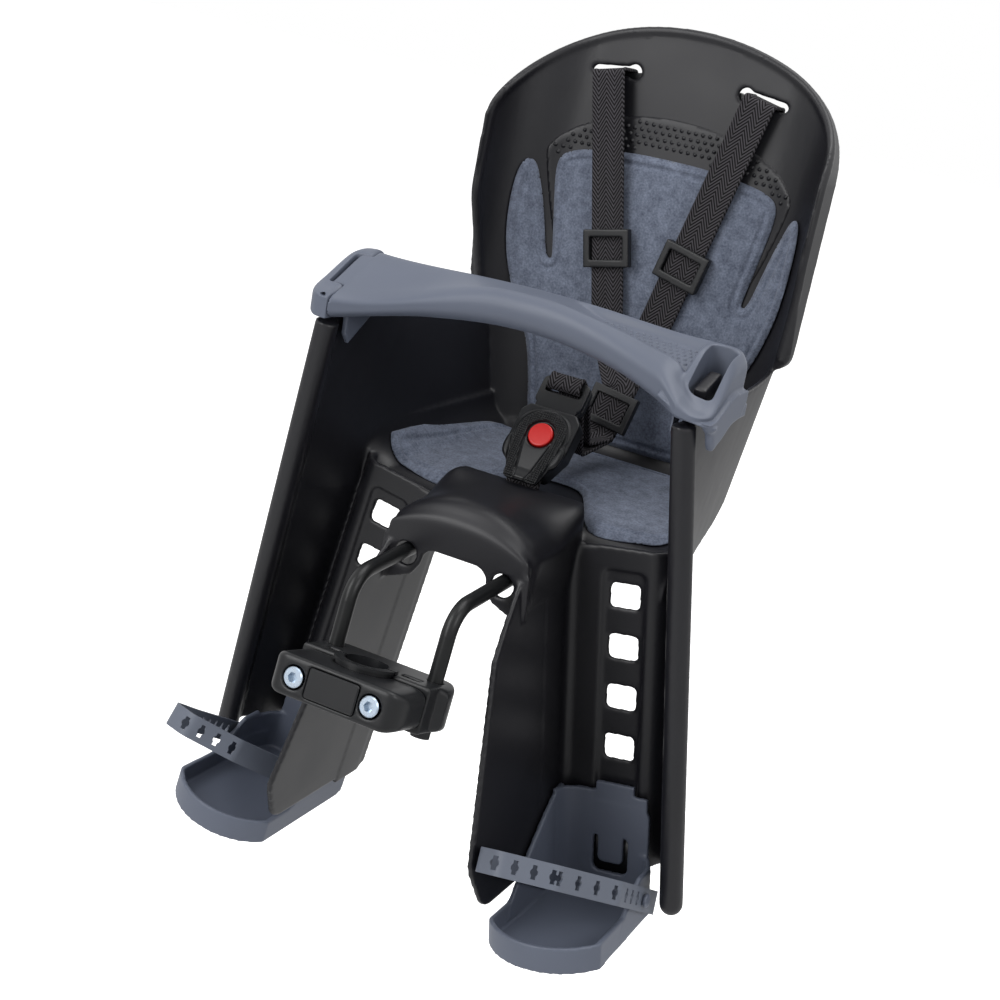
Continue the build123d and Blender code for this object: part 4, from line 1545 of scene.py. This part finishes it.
@dataclass
class BarGrip:
    """Field of small domes in the dish near the latch end of the bar."""

    bar: BarSkin
    start: Span = (46.0, 110.0)
    rows: int = 30
    columns: range = range(20)
    pitch: float = 4.4
    radius: float = 1.5
    height: float = 1.2
    end: float = 118.0
    zone: Span = (0.44, 0.72)

    def build(self, dresser: Dresser) -> None:
        """Set domes on a staggered grid over the dish, square to the slope of the bar's top.

        Args:
            dresser: finisher of the piece.
        """
        x, y = staggered(self.start, self.rows, self.columns, self.pitch).T
        t = self.bar.across(x, y)
        keep = (t > self.zone[0]) & (t < self.zone[1]) & (x < self.end)
        x, y = x[keep], y[keep]
        drop, near = self.bar.drop, 0.5
        along = drop(x + near, y) - drop(x - near, y)
        aside = drop(x, y + near) - drop(x, y - near)
        outward = np.stack([along, aside, np.ones_like(x)], -1)
        centre = np.stack([x, y, self.bar.top - drop(x, y)], -1)
        raised = domes(centre, outward, -Y_AXIS, self.radius, self.height)
        dresser.dress(patch("bar_grip_domes", *raised), Slot.BAR, "bar")


@dataclass
class Studio:
    """Plain pale floor, soft lights and the camera of the photograph."""

    eye: Point = (0.4739, -0.8923, 0.4574)
    azimuth: float = math.radians(24.3)
    elevation: float = math.radians(17.7)
    roll: float = math.radians(10.2)
    focal_pixels: float = 1787.3
    picture: float = 1000.0
    sensor: float = 36.0
    far: float = 50.0
    aim: Point = (0.0, 0.2, 0.12)
    floor_z: float = -0.45
    floor_half: float = 9.0
    floor_colour: str = "#f2f2f2"
    floor_roughness: float = 0.9
    floor_glow: float = 0.8
    sky: float = 0.4
    lights: tuple[tuple[str, Point, float, float], ...] = (
        ("key", (-1.3, -1.5, 1.9), 1.3, 30),
        ("front", (-0.62, -1.6, 0.72), 0.7, 9),
        ("side", (1.9, -0.5, 1.4), 1.0, 14),
        ("top", (0.3, 0.5, 2.2), 1.4, 22),
    )

    def camera(self) -> None:
        """Place the camera from the solved eye point, viewing angles and focal length."""
        data = bpy.data.cameras.new("photo_camera")
        data.sensor_width = self.sensor
        data.lens = self.focal_pixels * data.sensor_width / self.picture
        data.clip_end = self.far
        a, e, r = self.azimuth, self.elevation, self.roll
        back = Vector((math.sin(a) * math.cos(e), -math.cos(a) * math.cos(e), math.sin(e)))
        level = Vector((math.cos(a), math.sin(a), 0))
        rise = back.cross(level)
        right = level * math.cos(r) + rise * math.sin(r)
        up = rise * math.cos(r) - level * math.sin(r)
        turn = Matrix((right, up, back)).transposed().to_4x4()
        camera = bpy.data.objects.new("photo_camera", data)
        camera.matrix_world = Matrix.Translation(self.eye) @ turn
        bpy.context.scene.collection.objects.link(camera)
        bpy.context.scene.camera = camera

    def light(self, name: str, place: Point, size: float, watts: float) -> None:
        """Add one square area light that faces the seat.

        Args:
            name: light name.
            place: position in metres.
            size: side length in metres.
            watts: power.
        """
        data = bpy.data.lights.new(name, "AREA")
        data.size, data.energy = size, watts
        lamp = bpy.data.objects.new(name, data)
        turn = (Vector(self.aim) - Vector(place)).to_track_quat("-Z", "Y")
        lamp.matrix_world = Matrix.Translation(place) @ turn.to_matrix().to_4x4()
        bpy.context.scene.collection.objects.link(lamp)

    def floor(self) -> None:
        """Lay the pale floor, which the camera sees near white and which takes the shadow."""
        corner = np.array([[-1, -1], [1, -1], [1, 1], [-1, 1]]) * self.floor_half
        points = np.concatenate([corner, np.full((4, 1), self.floor_z)], 1) / MM
        floor = patch("floor", points, np.array([[0, 1, 2, 3]]))
        plain = {
            "Base Color": linear(self.floor_colour),
            "Roughness": self.floor_roughness,
            "Emission Color": WHITE,
        }
        surface = Surface("pale_floor", plain)
        ray = add(surface.tree, "ShaderNodeLightPath").outputs["Is Camera Ray"]
        surface.link(surface.compute("MULTIPLY", ray, self.floor_glow), "Emission Strength")
        floor.data.materials.append(surface.material)

    def world(self) -> None:
        """Make the sky: white to camera, glossy and transmission rays, dimmer as a light."""
        world = bpy.data.worlds.new("studio")
        world.use_nodes = True
        tree = world.node_tree
        rays = add(tree, "ShaderNodeLightPath").outputs
        seen = rays["Is Camera Ray"]
        for name in ("Is Glossy Ray", "Is Transmission Ray"):
            both = {0: seen, 1: rays[name]}
            seen = add(tree, "ShaderNodeMath", both, operation="MAXIMUM").outputs[0]
        limits = {"Value": seen, "To Min": self.sky, "To Max": 1.0}
        level = add(tree, "ShaderNodeMapRange", limits).outputs["Result"]
        back = tree.nodes["Background"]
        back.inputs["Color"].default_value = WHITE
        tree.links.new(level, back.inputs["Strength"])
        bpy.context.scene.world = world

    def build(self) -> None:
        """Add floor, sky, lights and camera."""
        self.floor()
        self.world()
        for light in self.lights:
            self.light(*light)
        bpy.context.scene.view_settings.view_transform = "Standard"
        self.camera()


def main() -> None:
    """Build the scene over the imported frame."""
    logging.basicConfig(level=logging.INFO)
    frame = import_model()
    by_label = {slot.label: slot for slot in Slot}
    dresser = Dresser()
    for part in frame["record"]["subparts"]:
        dresser.carry_over(frame["nodes"][part["node"]], by_label[part["material_slot"]])
    form = SeatForm()
    buckle = BuckleFrame()
    bar = BarSkin("safety_bar", Slot.BAR, "bar", 1.0, 4, 120000)
    slider = UprightSlider("lower_slider", Slot.BLACK, "seat", 0.5, 10, 30000)
    melts = [
        ShellSkin("seat_shell", Slot.SHELL, "seat", 1.3, 8, 190000, form),
        bar,
        FootrestSkin("right_footrest", Slot.BAR, "right_foot", 1.0, 5, 90000, 1),
        FootrestSkin("left_footrest", Slot.BAR, "left_foot", 1.0, 5, 90000, -1),
        HingeSkin("hinge_cap", Slot.BAR, "seat", 0.9, 5, bar=bar),
        PinSkin("hinge_pin", Slot.ZINC, "seat", 0.5, 2, 20000, bar=bar),
        ClampSkin("clamp_front_jaw", Slot.BLACK, "seat", 0.8, 8, 60000),
        ClampSkin("clamp_rear_housing", Slot.BLACK, "seat", 0.8, 6, 60000, 51.0, 11.0, 0.3, 8.0, 1),
        Melted("left_chest_slider", Slot.BLACK, "left_slider", 0.5, 10, 30000),
        Melted("right_chest_slider", Slot.BLACK, "right_slider", 0.5, 10, 30000),
        slider,
        Melted("buckle_body", Slot.BLACK, "seat", 0.6, 4, 40000),
        Melted("front_tongue", Slot.BLACK, "seat", 0.5, 4, 30000),
        Melted("rear_tongue", Slot.BLACK, "seat", 0.5, 4, 30000),
    ]
    for piece in melts:
        piece.build(dresser, frame["nodes"][piece.node])
    Pads(form).build(dresser)
    HeadrestPanel(form).build(dresser)
    Harness(form, slider, buckle).build(dresser)
    BuckleFace(buckle).build(dresser)
    BarGrip(bar).build(dresser)
    Studio().build()


if __name__ == "__main__":
    main()
